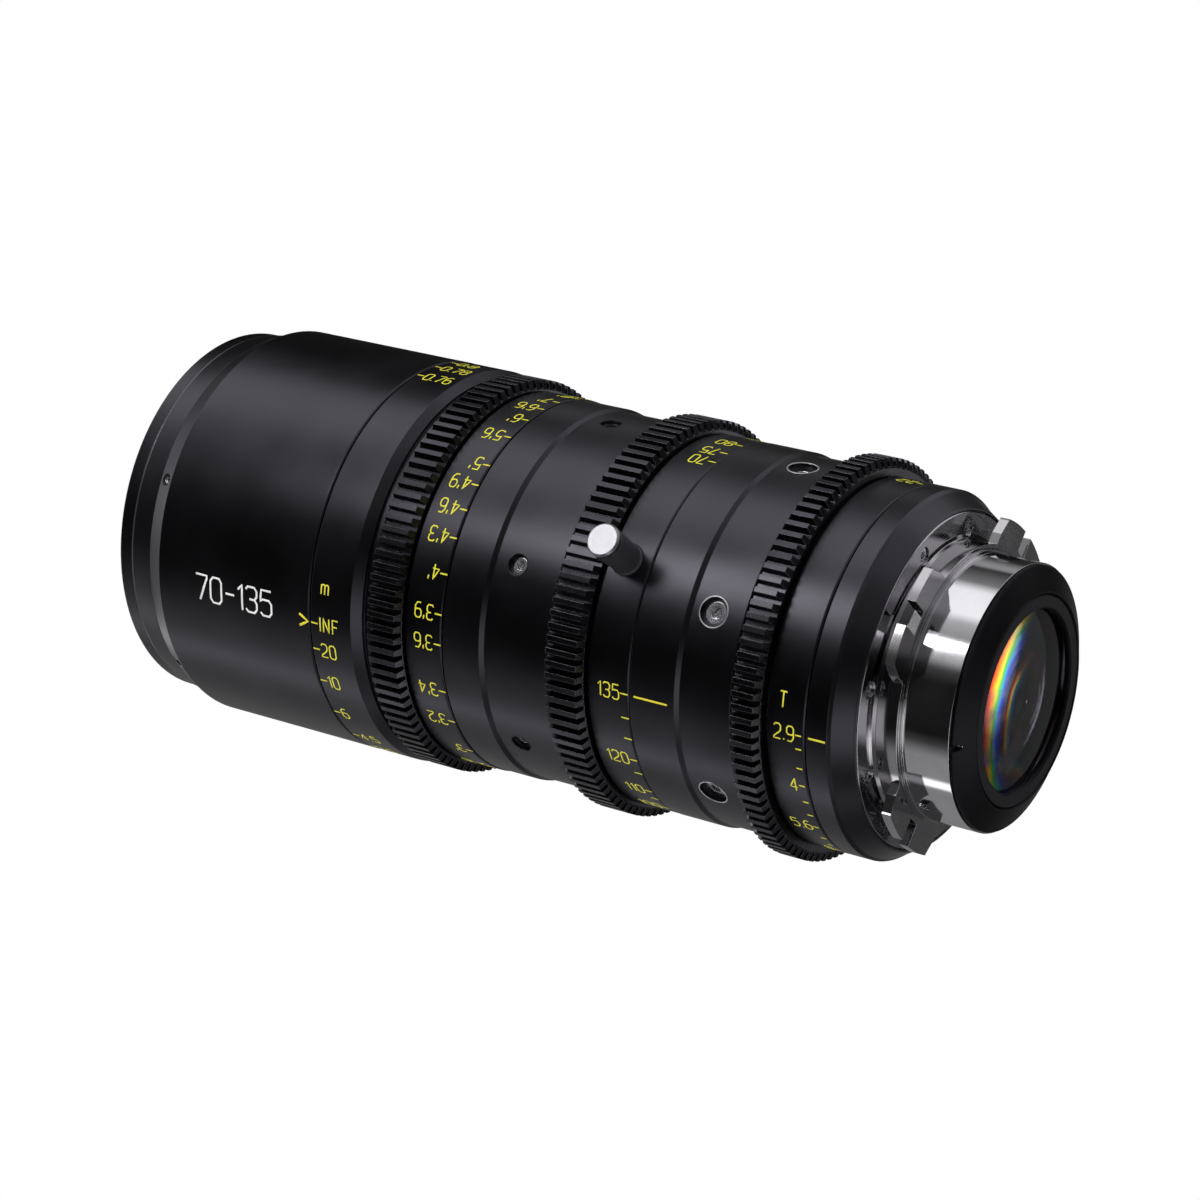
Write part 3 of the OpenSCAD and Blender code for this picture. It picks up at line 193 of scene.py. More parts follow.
finish["lever_black"] = metalFinish({
    "name": "satinBlackLever", "dark": "#39383d", "light": "#424147", "rough": 0.40, "cloud": 0.008, "metal": 0.4,
    "grit": 0.0004, "gritHeight": 0.35, "marks": 0.0006, "marksHeight": 0.05, "edge": 0.0003, "wearAndHighlight": 0.5})

# bare metals: turned, ground or plated. The eye sees the lathe's fine lines in the gloss, and small dull clouds
capLow, capHigh = [Vector(c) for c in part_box("zoom_lever_cap")]
capCentre = (capLow + capHigh) / 2
capAxis = Vector((0, capCentre.y, capCentre.z)).normalized()
# the near-white edge colours of these metals are a painted highlight along their edges
finish["mount_chrome"] = metalFinish({
    "name": "satinChromedStainlessMount", "dark": "#cac9cd", "light": "#d9d8dc", "edgeWearAndHighlight": "#f4f3f5",
    "rough": 0.055, "cloud": 0.009, "marks": 0.00045, "marksHeight": 0.035, "edge": 0.00016,
    "ground": 0.0271, "coarser": 0.02, "turnedTint": "#b0aeb2"})
finish["cap_bright"] = metalFinish({
    "name": "turnedBrightAluminiumCap", "dark": "#98979c", "light": "#acabb0", "edgeWearAndHighlight": "#ffffff",
    "rough": 0.30, "cloud": 0.004, "marks": 0.00055, "marksHeight": 0.6, "edge": 0.0002,
    "centre": tuple(capCentre), "axis": tuple(capAxis)})
finish["tube_steel"] = metalFinish({
    "name": "turnedAluminiumTube", "dark": "#a6a6a9", "light": "#b9b9bc", "edgeWearAndHighlight": "#dcdcde",
    "rough": 0.3, "cloud": 0.012, "marks": 0.0005, "marksHeight": 0.2, "edge": 0.0002})
finish["screw_steel"] = metalFinish({
    "name": "polishedSteelScrews", "dark": "#c2c2c8", "light": "#d6d6dc", "edgeWearAndHighlight": "#fcfcfe",
    "rough": 0.16, "cloud": 0.003, "marks": 0.0004, "marksHeight": 0.35, "edge": 0.0003})
finish["key_steel"] = metalFinish({
    "name": "groundSteelKey", "dark": "#a2a2a8", "light": "#b8b8be", "edgeWearAndHighlight": "#dddde2",
    "rough": 0.25, "cloud": 0.004, "marks": 0.0004, "marksHeight": 0.2, "edge": 0.0002})
finish["blade_steel"] = metalFinish({
    "name": "bluedSpringSteelBlades", "dark": "#3b3c42", "light": "#484a52", "edgeWearAndHighlight": "#7c7e88",
    "rough": 0.38, "cloud": 0.007, "marks": 0.0006, "marksHeight": 0.08, "edge": 0.0001})
finish["cam_brass"] = metalFinish({
    "name": "turnedBrassCam", "dark": "#b08a45", "light": "#c9a45c", "edgeWearAndHighlight": "#ecd08a",
    "rough": 0.25, "cloud": 0.010, "marks": 0.0005, "marksHeight": 0.2, "edge": 0.0002})


# bright metal laid round the large cups for their chamfered rims: its brightness is a painted highlight of those rims
paintedRimHighlight = metalFinish({
    "name": "brightRimHighlightMetal", "dark": "#dad9dd", "light": "#ecebef", "edgeWearAndHighlight": "#fafafc",
    "rough": 0.34, "cloud": 0.003, "marks": 0.0004, "marksHeight": 0.1, "edge": 0.0001})

# a lighter grey metal line round the rim: a painted highlight of the rim's edge
paintedRimLineHighlight = metalFinish({
    "name": "greyRimLineHighlight", "dark": "#77767b", "light": "#8b8a8f", "edgeWearAndHighlight": "#a9a8ad",
    "rough": 0.3, "cloud": 0.004, "marks": 0.0004, "marksHeight": 0.1, "edge": 0.0001})

glass = {"dust": 1.2 * mm, "dusty": (0.62, 0.75), "dustRough": 0.05, "tintPatch": 20 * mm}


# optical glass, ground and polished, with thin coatings laid on in a vacuum: the eye sees through it, and
# what it mirrors takes bands of colour that change from the middle to the edge
def opticalGlass(spec):
    material, tree, shader, place = newMaterial(spec["name"])
    film = addNode(tree, "ShaderNodeMapRange", {"From Min": 0.0, "From Max": spec["radius"],
                   "To Min": spec["filmMiddle"], "To Max": spec["filmEdge"]}, {"Value": fromAxis(tree, place)})
    # a trace of dust on the polish
    dust = addNode(tree, "ShaderNodeTexNoise", {"Scale": 1 / glass["dust"], "Detail": 4.0}, {"Vector": place}, "Fac")
    dust = addNode(tree, "ShaderNodeMapRange", {"From Min": glass["dusty"][0], "From Max": glass["dusty"][1],
                   "To Max": glass["dustRough"]}, {"Value": dust})
    tree.links.new(film, shader.inputs["Thin Film Thickness"])
    tree.links.new(dust, shader.inputs["Roughness"])
    twoTones(tree, shader, place, glass["tintPatch"], spec["tint"], spec["tintTwo"])
    shader.inputs["Thin Film IOR"].default_value = spec["filmIor"]
    shader.inputs["IOR"].default_value = spec["ior"]
    shader.inputs["Transmission Weight"].default_value = 1.0
    # painted reflection: coloured crescents on one side of the glass
    if "paintedCrescents" in spec:
        paintedReflectionCrescents(tree, shader, place, spec["paintedCrescents"])
    return material


# a painted reflection: narrow crescents of colour, one round the other, laid in patches on one side of the glass,
# where the coating's coloured reflections of the light would fall
def paintedReflectionCrescents(tree, shader, place, spec):
    wobble = addNode(tree, "ShaderNodeTexNoise", {"Scale": 1 / spec["wobbleSize"], "Detail": 2.0},
                     {"Vector": place}, "Color")
    bent = addNode(tree, "ShaderNodeVectorMath", {"operation": "MULTIPLY_ADD", 1: (spec["wobble"],) * 3},
                   {0: wobble, 2: place})
    away = addNode(tree, "ShaderNodeVectorMath", {"operation": "SUBTRACT", 1: spec["centre"]}, {0: bent})
    order = addNode(tree, "ShaderNodeMapRange", {"From Min": spec["band"][0], "From Max": spec["band"][1]},
                    {"Value": fromAxis(tree, away, (0, 1, spec["tall"]))})
    bands = addNode(tree, "ShaderNodeValToRGB", None, {"Fac": order}, None)
    fillRamp(bands, [(position, colour(code)) for position, code in spec["colours"]])
    sideways = addNode(tree, "ShaderNodeSeparateXYZ", None, {0: place}, "Y")
    side = addNode(tree, "ShaderNodeMapRange", {"From Min": spec["side"][0], "From Max": spec["side"][1],
                   "To Min": 1.0, "To Max": 0.0}, {"Value": sideways})
    patchy = addNode(tree, "ShaderNodeTexNoise", {"Scale": 1 / spec["patch"], "Detail": 2.0}, {"Vector": place}, "Fac")
    patchy = addNode(tree, "ShaderNodeMapRange", {"From Min": spec["thin"][0], "From Max": spec["thin"][1],
                     "To Min": spec["least"]}, {"Value": patchy})
    amount = addNode(tree, "ShaderNodeMath", {"operation": "MULTIPLY"}, {0: side, 1: patchy})
    glare = addNode(tree, "ShaderNodeBsdfPrincipled", {"Metallic": 1.0, "Roughness": spec["rough"]},
                    {"Base Color": bands.outputs["Color"]})
    both = addNode(tree, "ShaderNodeMixShader", None, {0: amount, 1: shader.outputs[0], 2: glare})
    tree.links.new(both, tree.nodes["Material Output"].inputs["Surface"])


finish["coated_glass"] = opticalGlass({
    "name": "coatedOpticalGlass", "radius": 0.022, "filmMiddle": 320.0, "filmEdge": 900.0, "filmIor": 1.72,
    "ior": 1.62, "tint": "#e9edf2", "tintTwo": "#f2f0f6",
    # the painted reflection's crescents
    "paintedCrescents": {
        "centre": (0.012, 0.006, -0.001), "tall": 0.86, "band": (0.0085, 0.0216), "side": (-0.012, 0.004),
        "wobbleSize": 0.011, "wobble": 0.0045, "patch": 0.007, "thin": (0.38, 0.6), "least": 0.15, "rough": 0.16,
        "colours": [
            (0.0, "#000000"), (0.08, "#101878"), (0.15, "#1890a0"), (0.21, "#d8c020"), (0.26, "#c03010"),
            (0.31, "#080410"), (0.40, "#10106c"), (0.50, "#2040e0"), (0.57, "#20b0d0"), (0.63, "#40c840"),
            (0.70, "#f0e020"), (0.78, "#ff8a10"), (0.86, "#c82008"), (0.93, "#200408"), (1.0, "#000000")]}})
finish["inner_glass"] = opticalGlass({
    "name": "polishedOpticalGlass", "radius": 0.03, "filmMiddle": 300.0, "filmEdge": 420.0, "filmIor": 1.38,
    "ior": 1.62, "tint": "#6a6e74", "tintTwo": "#74767c"})

enamel = {"patch": 1.5 * mm, "thin": (0.35, 0.75), "rough": (0.45, 0.6), "grain": 0.3 * mm, "grainHeight": 0.2,
          "grainDepth": 0.01 * mm}


# enamel paint rubbed into engraving: bright, a little uneven where the fill is thin
def engravingPaint(name, strong, thin):
    material, tree, shader, place = newMaterial(name)
    uneven = addNode(tree, "ShaderNodeTexNoise", {"Scale": 1 / enamel["patch"], "Detail": 3.0},
                     {"Vector": place}, "Fac")
    uneven = addNode(tree, "ShaderNodeMapRange", {"From Min": enamel["thin"][0], "From Max": enamel["thin"][1]},
                     {"Value": uneven})
    tint = addNode(tree, "ShaderNodeMix", {"data_type": "RGBA", 6: colour(strong), 7: colour(thin)}, {0: uneven}, 2)
    tree.links.new(tint, shader.inputs["Base Color"])
    rough = addNode(tree, "ShaderNodeMapRange", {"To Min": enamel["rough"][0], "To Max": enamel["rough"][1]},
                    {"Value": uneven})
    tree.links.new(rough, shader.inputs["Roughness"])
    grain = addNode(tree, "ShaderNodeTexNoise", {"Scale": 1 / enamel["grain"], "Detail": 3.0}, {"Vector": place}, "Fac")
    bump = addNode(tree, "ShaderNodeBump", {"Strength": enamel["grainHeight"], "Distance": enamel["grainDepth"]},
                   {"Height": grain})
    tree.links.new(bump, shader.inputs["Normal"])
    return material


yellowPaint = engravingPaint("yellowEngravingEnamel", "#ebe436", "#d9d230")
amberPaint = engravingPaint("amberEngravingEnamel", "#f2e432", "#e2d42c")
whitePaint = engravingPaint("whiteEngravingEnamel", "#f2f2f0", "#dcdcda")

slotOf = {row["node"]: row["material_slot"] for row in frame["record"]["subparts"]}
for nodeName, nodeObject in nodes.items():
    material = finish[slotOf[nodeName]]
    if not nodeObject.material_slots:
        nodeObject.data.materials.append(material)
    for materialSlot in nodeObject.material_slots:
        materialSlot.material = material
print("nodes dressed:", len(nodes))

mergeDistance = 1e-7


def keepMesh(name, bm, body, material):
    mesh = bpy.data.meshes.new(name)
    bmesh.ops.remove_doubles(bm, verts=bm.verts, dist=mergeDistance)
    bmesh.ops.recalc_face_normals(bm, faces=bm.faces)
    bm.to_mesh(mesh)
    bm.free()
    mesh.materials.append(material)
    for face in mesh.polygons:
        face.use_smooth = True
    piece = bpy.data.objects.new(name, mesh)
    scene.collection.objects.link(piece)
    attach(piece, body)
    return piece


# strokes of the engraved figures; a stroke that ends where it began is closed
gridWide, gridHigh = 4, 6
glyphs = {
    "0": [[(0.9, 0), (3.1, 0), (4, 0.9), (4, 5.1), (3.1, 6), (0.9, 6), (0, 5.1), (0, 0.9), (0.9, 0)]],
    "1": [[(0, 4.7), (1.5, 6), (1.5, 0)]],
    "2": [[(0, 5.1), (0.9, 6), (3.1, 6), (4, 5.1), (4, 3.7), (3.3, 2.8), (0, 0.7), (0, 0), (4, 0)]],
    "3": [[(0, 5.3), (0.8, 6), (3.1, 6), (4, 5.2), (4, 3.9), (3.2, 3.1), (1.4, 3.1)],
          [(3.2, 3.1), (4, 2.3), (4, 0.9), (3.1, 0), (0.8, 0), (0, 0.7)]],
    "4": [[(3.1, 0), (3.1, 6), (0, 1.7), (4.2, 1.7)]],
    "5": [[(3.8, 6), (0.3, 6), (0, 3.3), (0.8, 3.8), (3.1, 3.8), (4, 3.0), (4, 0.9), (3.1, 0), (0.8, 0), (0, 0.7)]],
    "6": [[(3.5, 6), (1.2, 6), (0, 4.6), (0, 0.9), (0.9, 0), (3.1, 0), (4, 0.9), (4, 2.7), (3.1, 3.5), (0.9, 3.5),
           (0, 2.7)]],
    "7": [[(0, 6), (4, 6), (4, 5.4), (1.4, 0)]],
    "8": [[(0.9, 3.2), (0, 4.0), (0, 5.2), (0.9, 6), (3.1, 6), (4, 5.2), (4, 4.0), (3.1, 3.2), (0.9, 3.2)],
          [(0.9, 3.2), (0, 2.4), (0, 0.9), (0.9, 0), (3.1, 0), (4, 0.9), (4, 2.4), (3.1, 3.2)]],
    "9": [[(0.5, 0), (2.8, 0), (4, 1.4), (4, 5.1), (3.1, 6), (0.9, 6), (0, 5.1), (0, 3.4), (0.9, 2.6), (3.1, 2.6),
           (4, 3.4)]],
    "I": [[(0.6, 0), (0.6, 6)]], "N": [[(0.6, 0), (0.6, 6), (4.4, 0), (4.4, 6)]],
    "F": [[(4.5, 6), (0.7, 6), (0.7, 0)], [(0.7, 3.2), (3.8, 3.2)]], "T": [[(0, 6), (4, 6)], [(2, 6), (2, 0)]],
    "m": [[(0, 0), (0, 4)], [(0, 3.2), (0.8, 4), (1.8, 4), (2.4, 3.4), (2.4, 0)],
          [(2.4, 3.2), (3.2, 4), (4.2, 4), (4.8, 3.4), (4.8, 0)]],
    "f": [[(2.6, 6), (1.8, 6), (1.1, 5.3), (1.1, 0)], [(0, 3.7), (2.4, 3.7)]],
    "t": [[(1.1, 5.6), (1.1, 0.7), (1.8, 0), (2.6, 0)], [(0, 4), (2.4, 4)]],
    "'": [[(0.4, 6.2), (0.2, 4.6)]], ".": [[(0.2, 0), (0.2, 0.5)]], "-": [[(0.2, 3), (3.4, 3)]],
}
lettering = {"high": 3.1 * mm, "wide": 1.5 * mm, "gap": 0.64 * mm, "stroke": 0.35 * mm, "proud": 0.18}


def letterWidth(letter, size):
    return max(u for line in glyphs[letter] for u, v in line) / gridWide * size["wide"]


# strokes as (x, height round the band) pairs in metres, reading along +X; far text is turned half round
def textStrokes(words, xStart, angle, radius, far=False, size=lettering, align="left"):
    strokes, cursor = [], 0.0
    if align == "right":
        cursor = -sum(letterWidth(letter, size) for letter in words) - size["gap"] * (len(words) - 1)
    for letter in words:
        for line in glyphs[letter]:
            points = []
            for u, v in line:
                along = cursor + u / gridWide * size["wide"]
                rise = (v / gridHigh - 0.5) * size["high"] / radius
                points.append((xStart - along, angle + rise) if far else (xStart + along, angle - rise))
            strokes.append(points)
        cursor += letterWidth(letter, size) + size["gap"]
    return strokes


# a stroke that runs round a band gets a point at least this often, in radians
bendStep = 0.025


# each stroke is a bevelled curve laid on the cylinder, made a mesh, then pressed flat so that it is only a
# film of paint above the surface
def paintOn(name, strokes, radius, body, material, stroke, proud):
    curve = bpy.data.curves.new(name, "CURVE")
    curve.dimensions = "3D"
    curve.bevel_depth = stroke / 2
    curve.bevel_resolution = 1
    curve.use_fill_caps = True
    for points in strokes:
        closed = len(points) > 3 and points[0] == points[-1]
        used = points[:-1] if closed else points
        path, ends = [used[0]], used[1:] + ([used[0]] if closed else [])
        for a, b in zip(used, ends):                    # a stroke that runs round the band is bent with it
            parts = max(1, math.ceil(abs(b[1] - a[1]) / bendStep))
            path += [tuple(i + (j - i) * k / parts for i, j in zip(a, b)) for k in range(1, parts + 1)]
        used = path[:-1] if closed else path
        spline = curve.splines.new("POLY")
        spline.points.add(len(used) - 1)
        spline.use_cyclic_u = closed
        for point, (x, angle) in zip(spline.points, used):
            point.co = (x, radius * math.cos(angle), radius * math.sin(angle), 1.0)
    holder = bpy.data.objects.new(name + "Curve", curve)
    scene.collection.objects.link(holder)
    bpy.context.view_layer.update()
    mesh = bpy.data.meshes.new_from_object(holder.evaluated_get(bpy.context.evaluated_depsgraph_get()))
    bm = bmesh.new()
    bm.from_mesh(mesh)
    for vert in bm.verts:
        away = math.hypot(vert.co.y, vert.co.z)
        scale = (radius + (away - radius) * proud) / away
        vert.co.y *= scale
        vert.co.z *= scale
    bpy.data.objects.remove(holder)
    bpy.data.curves.remove(curve)
    bpy.data.meshes.remove(mesh)
    return keepMesh(name, bm, body, material)


print("dials")
# sides: is it the far scale, and where its text starts from; letters: words, x in mm, degrees, is it the far side
dials = {
    "metreScale": {
        "body": "focus_ring", "radius": 42.6 * mm, "dash": (-129.5, -127.8), "text": -127.4,
        "sides": [(False, "left")], "letters": [("m", -127.0, 169, False)],
        "marks": [("INF", 0), ("20", 8), ("10", 18.8), ("6", 31.7), ("4.5", 44.8), ("3.5", 55), ("3", 62),
                  ("2.5", 72.6), ("2", 91.8), ("1.8", 102.9), ("1.6", 117.1), ("1.4", 135.8), ("1.2", 161.5),
                  ("1.1", 178.3), ("1", 199), ("0.9", 225), ("0.85", 240.6), ("0.8", 258.4), ("0.78", 266.3),
                  ("0.76", 274.7)]},
    "feetScale": {
        "body": "focus_ring", "radius": 40.0 * mm, "dash": (-98.45, -100.17), "text": -100.6, "farStart": 0.0,
        "sides": [(True, "left")], "letters": [("ft", -100.6, -10, True)],
        "marks": [("INF", 0), ("50'", 11), ("30'", 20), ("20'", 31), ("15'", 44), ("12'", 52), ("10'", 61),
                  ("9'", 67.2), ("8'", 74.5), ("7'", 84.8), ("6'6", 92.8), ("6'", 101), ("5'6", 110.5), ("5'", 122.6),
                  ("4'9", 129.8), ("4'6", 138.1), ("4'3", 146.9), ("4'", 157.7), ("3'9", 169.6), ("3'6", 178.8),
                  ("3'4", 194.4), ("3'2", 206.2), ("3'", 221.4), ("2'10", 236), ("2'8", 253.6), ("2'6", 273.9)]},
    "zoomScale": {
        "body": "zoom_ring", "radius": 38.85 * mm, "dash": (-55.9, -54.1), "text": -56.25, "farStart": 0.0,
        "sides": [(False, "right"), (True, "left")], "letters": [],
        "marks": [("135", 0), ("", 7.8), ("", 15.1), ("120", 23.5), ("", 29.4), ("110", 38.9), ("", 44), ("100", 52),
                  ("90", 66), ("80", 84.4), ("75", 93), ("70", 99.6)]},
    "irisScale": {
        "body": "iris_ring", "radius": 37.6 * mm, "dash": (-16.9, -15.6), "text": -17.3, "farStart": -35.0,
        "sides": [(False, "right"), (True, "left")], "letters": [("T", -20.7, 170, False), ("T", -18.6, -45, True)],
        "marks": [("2.9", 0), ("", 4.4), ("", 11), ("4", 17.4), ("", 24), ("", 30), ("5.6", 36.3), ("", 43.5),
                  ("", 49), ("8", 55), ("", 61), ("", 67), ("11", 74), ("16", 93), ("22", 112)]}}
nearStart = 180.0
for name, dial in dials.items():
    strokes = []
    for far, align in dial["sides"]:
        for words, turn in dial["marks"]:
            angle = math.radians((dial["farStart"] if far else nearStart) + turn)
            strokes.append([(x * mm, angle) for x in dial["dash"]])
            if words:
                strokes += textStrokes(words, dial["text"] * mm, angle, dial["radius"], far, align=align)
    for words, x, degrees, far in dial["letters"]:
        strokes += textStrokes(words, x * mm, math.radians(degrees), dial["radius"], far)
    paintOn(name, strokes, dial["radius"], dial["body"], yellowPaint, lettering["stroke"], lettering["proud"])

# index lines, each point as x in mm and degrees round the axis
indexes = {
    "focusIndex": {"radius": 42.65 * mm, "paint": amberPaint, "stroke": 0.62 * mm, "proud": 0.1,
                   "lines": [[(-132.5, 178.25), (-130.3, 180), (-132.5, 181.75)]]},
    "feetIndex": {"radius": 39.75 * mm, "paint": yellowPaint, "stroke": 0.48 * mm, "proud": 0.12,
                  "lines": [[(-97.5, 0), (-91.0, 0)]]},
    "zoomIndex": {"radius": 38.9 * mm, "paint": amberPaint, "stroke": 0.48 * mm, "proud": 0.12,
                  "lines": [[(-52.75, 180), (-45.0, 180)], [(-52.75, 0), (-45.0, 0)]]},
    "irisIndex": {"radius": 37.6 * mm, "paint": yellowPaint, "stroke": 0.48 * mm, "proud": 0.12,
                  "lines": [[(-14.05, 180), (-10.35, 180)], [(-14.05, -35), (-10.35, -35)]]}}
for name, spec in indexes.items():
    lines = [[(x * mm, math.radians(degrees)) for x, degrees in line] for line in spec["lines"]]
    paintOn(name, lines, spec["radius"], "lens_barrel", spec["paint"], spec["stroke"], spec["proud"])

rangeMark = {"words": "70-135", "radius": 42.65 * mm, "x": -160.0 * mm, "angle": math.radians(178), "proud": 0.08,
             "size": {"high": 5.6 * mm, "wide": 2.9 * mm, "gap": 1.0 * mm}, "stroke": 0.55 * mm}
rangeStrokes = textStrokes(rangeMark["words"], rangeMark["x"], rangeMark["angle"], rangeMark["radius"],
                           size=rangeMark["size"])
paintOn("rangeFigures", rangeStrokes, rangeMark["radius"], "lens_barrel", whitePaint, rangeMark["stroke"],
        rangeMark["proud"])

print("cut rims of the screw cups")
cups = {"first": 30, "step": 60, "count": 6, "points": 40}
# the rear rings are in that bright metal, a painted highlight of the cups' rims; the front ones keep the ring's black
cupRows = {
    "rearCupRims": {"x": -37.9 * mm, "surface": 38.35 * mm, "cup": 3.1 * mm, "stroke": 0.34 * mm, "proud": 0.7,
                    "material": paintedRimHighlight},
    "frontCupRims": {"x": -83.3 * mm, "surface": 39.1 * mm, "cup": 2.28 * mm, "stroke": 0.26 * mm, "proud": 0.5,
                     "material": finish["ring_black"]}}
# a closed ring round every cup of a sleeve, laid on the sleeve's surface
for name, row in cupRows.items():
    rims = []
    for number in range(cups["count"]):
        middle = math.radians(cups["first"] + number * cups["step"])
        turns = [math.tau * k / cups["points"] for k in range(cups["points"])]
        rim = [(row["x"] + row["cup"] * math.cos(t), middle + math.asin(row["cup"] * math.sin(t) / row["surface"]))
               for t in turns]
        rims.append(rim + [rim[0]])
    paintOn(name, rims, row["surface"], "lens_barrel", row["material"], row["stroke"], row["proud"])

# the grey line round the rim is a painted highlight of its edge
rimLine = {"x": -179.72 * mm, "radius": 40.02 * mm, "points": 120, "stroke": 0.36 * mm, "proud": 0.7}
rim = [(rimLine["x"], math.tau * k / rimLine["points"]) for k in range(rimLine["points"])]
paintOn("rimLine", [rim + [rim[0]]], rimLine["radius"], "lens_barrel", paintedRimLineHighlight, rimLine["stroke"], rimLine["proud"])

print("filter thread")
thread = {"radius": 38.5 * mm, "depth": 0.42 * mm, "pitch": 0.75 * mm, "start": -183.0 * mm, "turns": 4.6,
          "steps": 96}
bm = bmesh.new()
low = bm.verts.new((thread["start"], thread["radius"], 0))
tip = bm.verts.new((thread["start"] + thread["pitch"] / 2, thread["radius"] - thread["depth"], 0))
high = bm.verts.new((thread["start"] + thread["pitch"], thread["radius"], 0))
ridge = [bm.edges.new((low, tip)), bm.edges.new((tip, high))]
bmesh.ops.spin(bm, geom=[low, tip, high, *ridge], cent=(0, 0, 0), axis=(1, 0, 0),
               dvec=(thread["pitch"] / thread["steps"], 0, 0), angle=thread["turns"] * math.tau,
               steps=int(thread["turns"] * thread["steps"]))
keepMesh("filterThread", bm, "lens_barrel", finish["barrel_black"])


print("floor, light and camera")


# a flat piece of the studio, from its corners
def stageCard(name, corners, material):
    mesh = bpy.data.meshes.new(name)
    bm = bmesh.new()
    bm.faces.new([bm.verts.new(corner) for corner in corners])
    bm.to_mesh(mesh)
    bm.free()
    mesh.materials.append(material)
    card = bpy.data.objects.new(name, mesh)
    scene.collection.objects.link(card)
    return card


# two values for a ray: does it come off a mirror or through glass, and does it come from the camera
def rayKinds(tree):
    ray = addNode(tree, "ShaderNodeLightPath", give=None).outputs
    mirror = addNode(tree, "ShaderNodeMath", {"operation": "MAXIMUM"},
                     {0: ray["Is Glossy Ray"], 1: ray["Is Transmission Ray"]})
    return mirror, ray["Is Camera Ray"]


# painted board, lit evenly: plain white to the camera, and nothing to a mirror
floor = {"half": 6.0, "height": -0.45, "patch": 0.4, "dark": "#f3f3f3", "light": "#f7f7f7", "rough": 0.8}
floorMaterial, tree, shader, place = newMaterial("paleStudioFloor")
twoTones(tree, shader, place, floor["patch"], floor["dark"], floor["light"])
shader.inputs["Roughness"].default_value = floor["rough"]
white = addNode(tree, "ShaderNodeEmission", {"Color": (1, 1, 1, 1), "Strength": 1.0})
clear = addNode(tree, "ShaderNodeBsdfTransparent")
mirror, fromCamera = rayKinds(tree)
seen = addNode(tree, "ShaderNodeMixShader", None, {0: fromCamera, 1: shader.outputs[0], 2: white})
shown = addNode(tree, "ShaderNodeMixShader", None, {0: mirror, 1: seen, 2: clear})
tree.links.new(shown, tree.nodes["Material Output"].inputs["Surface"])
corners = [(x * floor["half"], y * floor["half"], floor["height"]) for x, y in ((-1, -1), (1, -1), (1, 1), (-1, 1))]
stageCard("studioFloor", corners, floorMaterial)

# the studio that metal and glass mirror: strips that run along the lens, by the angle round its axis
# (0 is +Y, 90 is up, 180 is the camera's side), dimmer towards the mount's end, and boxes at places of their own.
# A box is given by its range along X, its range round the axis, and how softly each ends
studio = {
    "strips": [(0, 0.02), (12, 0.03), (27, 0.35), (32, 0.35), (36, 0.03), (58, 0.25), (68, 1.25), (94, 1.35),
               (102, 0.60), (116, 0.35), (124, 0.55), (136, 0.45), (144, 0.06), (156, 0.01), (200, 0.01), (208, 0.06),
               (220, 0.31), (242, 0.31), (245, 1.8), (250, 1.8), (253, 0.30), (300, 0.26), (318, 0.22), (326, 0.28),
               (344, 0.26), (352, 0.03)],
    "peak": 2.0, "plain": 0.85, "dim": (-0.25, 0.15, 0.35),
    "boxes": [{"x": (0.34, 0.60), "turn": (190, 210), "soft": (0.12, 14), "level": 1.05},
              {"x": (-1.1, -0.965), "turn": (85, 222), "soft": (0.015, 18), "level": 1.3},
              {"x": (-1.1, -0.80), "turn": (296, 350), "soft": (0.04, 10), "level": 2.4},
              {"x": (0.84, 1.1), "turn": (250, 302), "soft": (0.06, 15), "level": 2.2},
              {"x": (0.10, 0.60), "turn": (20, 58), "soft": (0.10, 12), "level": 0.9},
              {"x": (0.525, 0.75), "turn": (334, 350), "soft": (0.03, 5), "level": 1.9}]}
world = bpy.data.worlds.new("studio")
scene.world = world
world.use_nodes = True
tree = world.node_tree
tree.nodes.clear()
way = addNode(tree, "ShaderNodeTexCoord", give="Generated")
ways = addNode(tree, "ShaderNodeSeparateXYZ", None, {0: way}, None).outputs
turn = addNode(tree, "ShaderNodeMath", {"operation": "ARCTAN2"}, {0: ways["Z"], 1: ways["Y"]})
share = addNode(tree, "ShaderNodeMapRange", {"clamp": False, "From Min": 0.0, "From Max": math.tau}, {"Value": turn})
share = addNode(tree, "ShaderNodeMath", {"operation": "FRACT"}, {0: share})
strips = addNode(tree, "ShaderNodeValToRGB", None, {"Fac": share}, None)
fillRamp(strips, [(angle / 360, (*(level / studio["peak"],) * 3, 1)) for angle, level in studio["strips"]])
level = addNode(tree, "ShaderNodeMath", {"operation": "MULTIPLY", 1: studio["peak"]}, {0: strips.outputs["Color"]})
dimFrom, dimTo, dimLevel = studio["dim"]
dimmed = addNode(tree, "ShaderNodeMapRange", {"From Min": dimFrom, "From Max": dimTo, "To Min": 1.0,
                 "To Max": dimLevel}, {"Value": ways["X"]})
level = addNode(tree, "ShaderNodeMath", {"operation": "MULTIPLY"}, {0: level, 1: dimmed})
for box in studio["boxes"]:
    inside = None
    turnRange, turnSoft = [v / 360 for v in box["turn"]], box["soft"][1] / 360
    for source, (low, high), soft in ((ways["X"], box["x"], box["soft"][0]), (share, turnRange, turnSoft)):
        for outer, inner in ((low - soft, low), (high + soft, high)):
            side = addNode(tree, "ShaderNodeMapRange", {"From Min": outer, "From Max": inner}, {"Value": source})
            inside = side if inside is None else addNode(tree, "ShaderNodeMath", {"operation": "MULTIPLY"},
                                                         {0: inside, 1: side})
    inside = addNode(tree, "ShaderNodeMath", {"operation": "MULTIPLY", 1: box["level"]}, {0: inside})
    level = addNode(tree, "ShaderNodeMath", {"operation": "MAXIMUM"}, {0: level, 1: inside})
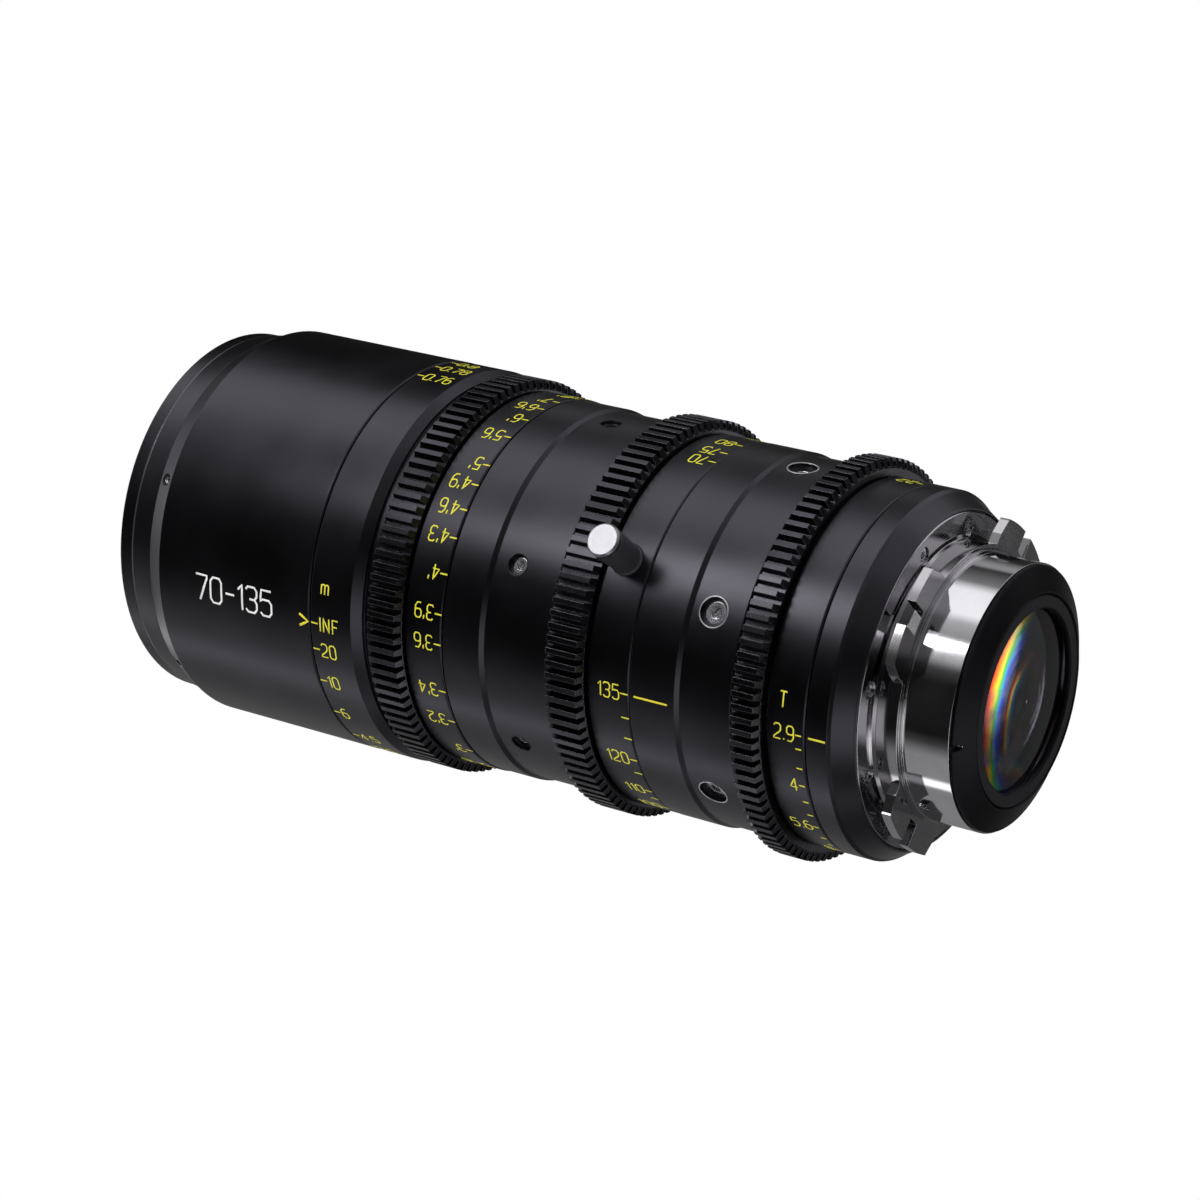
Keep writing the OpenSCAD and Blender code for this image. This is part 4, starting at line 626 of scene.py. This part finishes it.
mirrored = addNode(tree, "ShaderNodeBackground", {"Color": (1, 1, 1, 1)}, {"Strength": level})
plain = addNode(tree, "ShaderNodeBackground", {"Color": (1, 1, 1, 1), "Strength": studio["plain"]})
backdrop = addNode(tree, "ShaderNodeBackground", {"Color": (1, 1, 1, 1), "Strength": 1.0})
mirror, fromCamera = rayKinds(tree)
lit = addNode(tree, "ShaderNodeMixShader", None, {0: mirror, 1: plain, 2: mirrored})
lit = addNode(tree, "ShaderNodeMixShader", None, {0: fromCamera, 1: lit, 2: backdrop})
addNode(tree, "ShaderNodeOutputWorld", None, {"Surface": lit}, None)

# black cards out of the picture: one behind the front barrel and one in front of it, so that what the barrel
# mirrors is dark there. Felt on a card mirrors nothing
felt = {"patch": 10 * mm, "dark": "#050505", "light": "#0a0a0a"}
flagMaterial, tree, shader, place = newMaterial("blackFeltFlag")
twoTones(tree, shader, place, felt["patch"], felt["dark"], felt["light"])
shader.inputs["Roughness"].default_value = 1.0
flags = {"blackFlag": {"x": (-0.34, -0.178), "low": (0.135, 0.000), "high": (0.050, 0.150)},
         "nearFlag": {"x": (-0.36, -0.218), "low": (-0.146, 0.068), "high": (-0.090, 0.135)}}
for name, flag in flags.items():
    (left, right), low, high = flag["x"], flag["low"], flag["high"]
    card = stageCard(name, [(left, *low), (right, *low), (right, *high), (left, *high)], flagMaterial)
    card.visible_camera = False
    card.visible_diffuse = False
    card.visible_shadow = False

softboxes = {
    "keyBox": {"at": (-0.245, -0.26, 0.333), "aim": (-0.012, -0.029, 0.024), "size": (0.10, 0.16), "power": 0.26,
               "mirrored": True},
    "overheadBox": {"at": (-0.1, -0.5, 1.3), "aim": (-0.09, 0, 0), "size": (1.2, 1.2), "power": 5.0,
                    "mirrored": False}}
for name, spec in softboxes.items():
    light = bpy.data.lights.new(name, "AREA")
    light.shape = "RECTANGLE"
    light.size, light.size_y = spec["size"]
    light.energy = spec["power"]
    holder = bpy.data.objects.new(name, light)
    scene.collection.objects.link(holder)
    aim = Vector(spec["at"]) - Vector(spec["aim"])
    holder.matrix_world = Matrix.Translation(spec["at"]) @ aim.to_track_quat("Z", "Y").to_matrix().to_4x4()
    holder.visible_glossy = spec["mirrored"]
    holder.visible_camera = False

view = {"at": (0.2861, -0.5554212, 0.2729350), "right": (0.83263137, 0.55374324, -0.00966562),
        "up": (-0.20207883, 0.32001075, 0.92561183), "back": (0.5156444, -0.76874023, 0.37835078), "lens": 103.8,
        "sensor": 36.0, "nearClip": 0.01}
cameraData = bpy.data.cameras.new("photoView")
cameraData.lens = view["lens"]
cameraData.sensor_width = view["sensor"]
cameraData.clip_start = view["nearClip"]
camera = bpy.data.objects.new("photoView", cameraData)
scene.collection.objects.link(camera)
turned = Matrix((view["right"], view["up"], view["back"])).transposed().to_4x4()
camera.matrix_world = Matrix.Translation(view["at"]) @ turned
scene.camera = camera
scene.view_settings.view_transform = "Standard"
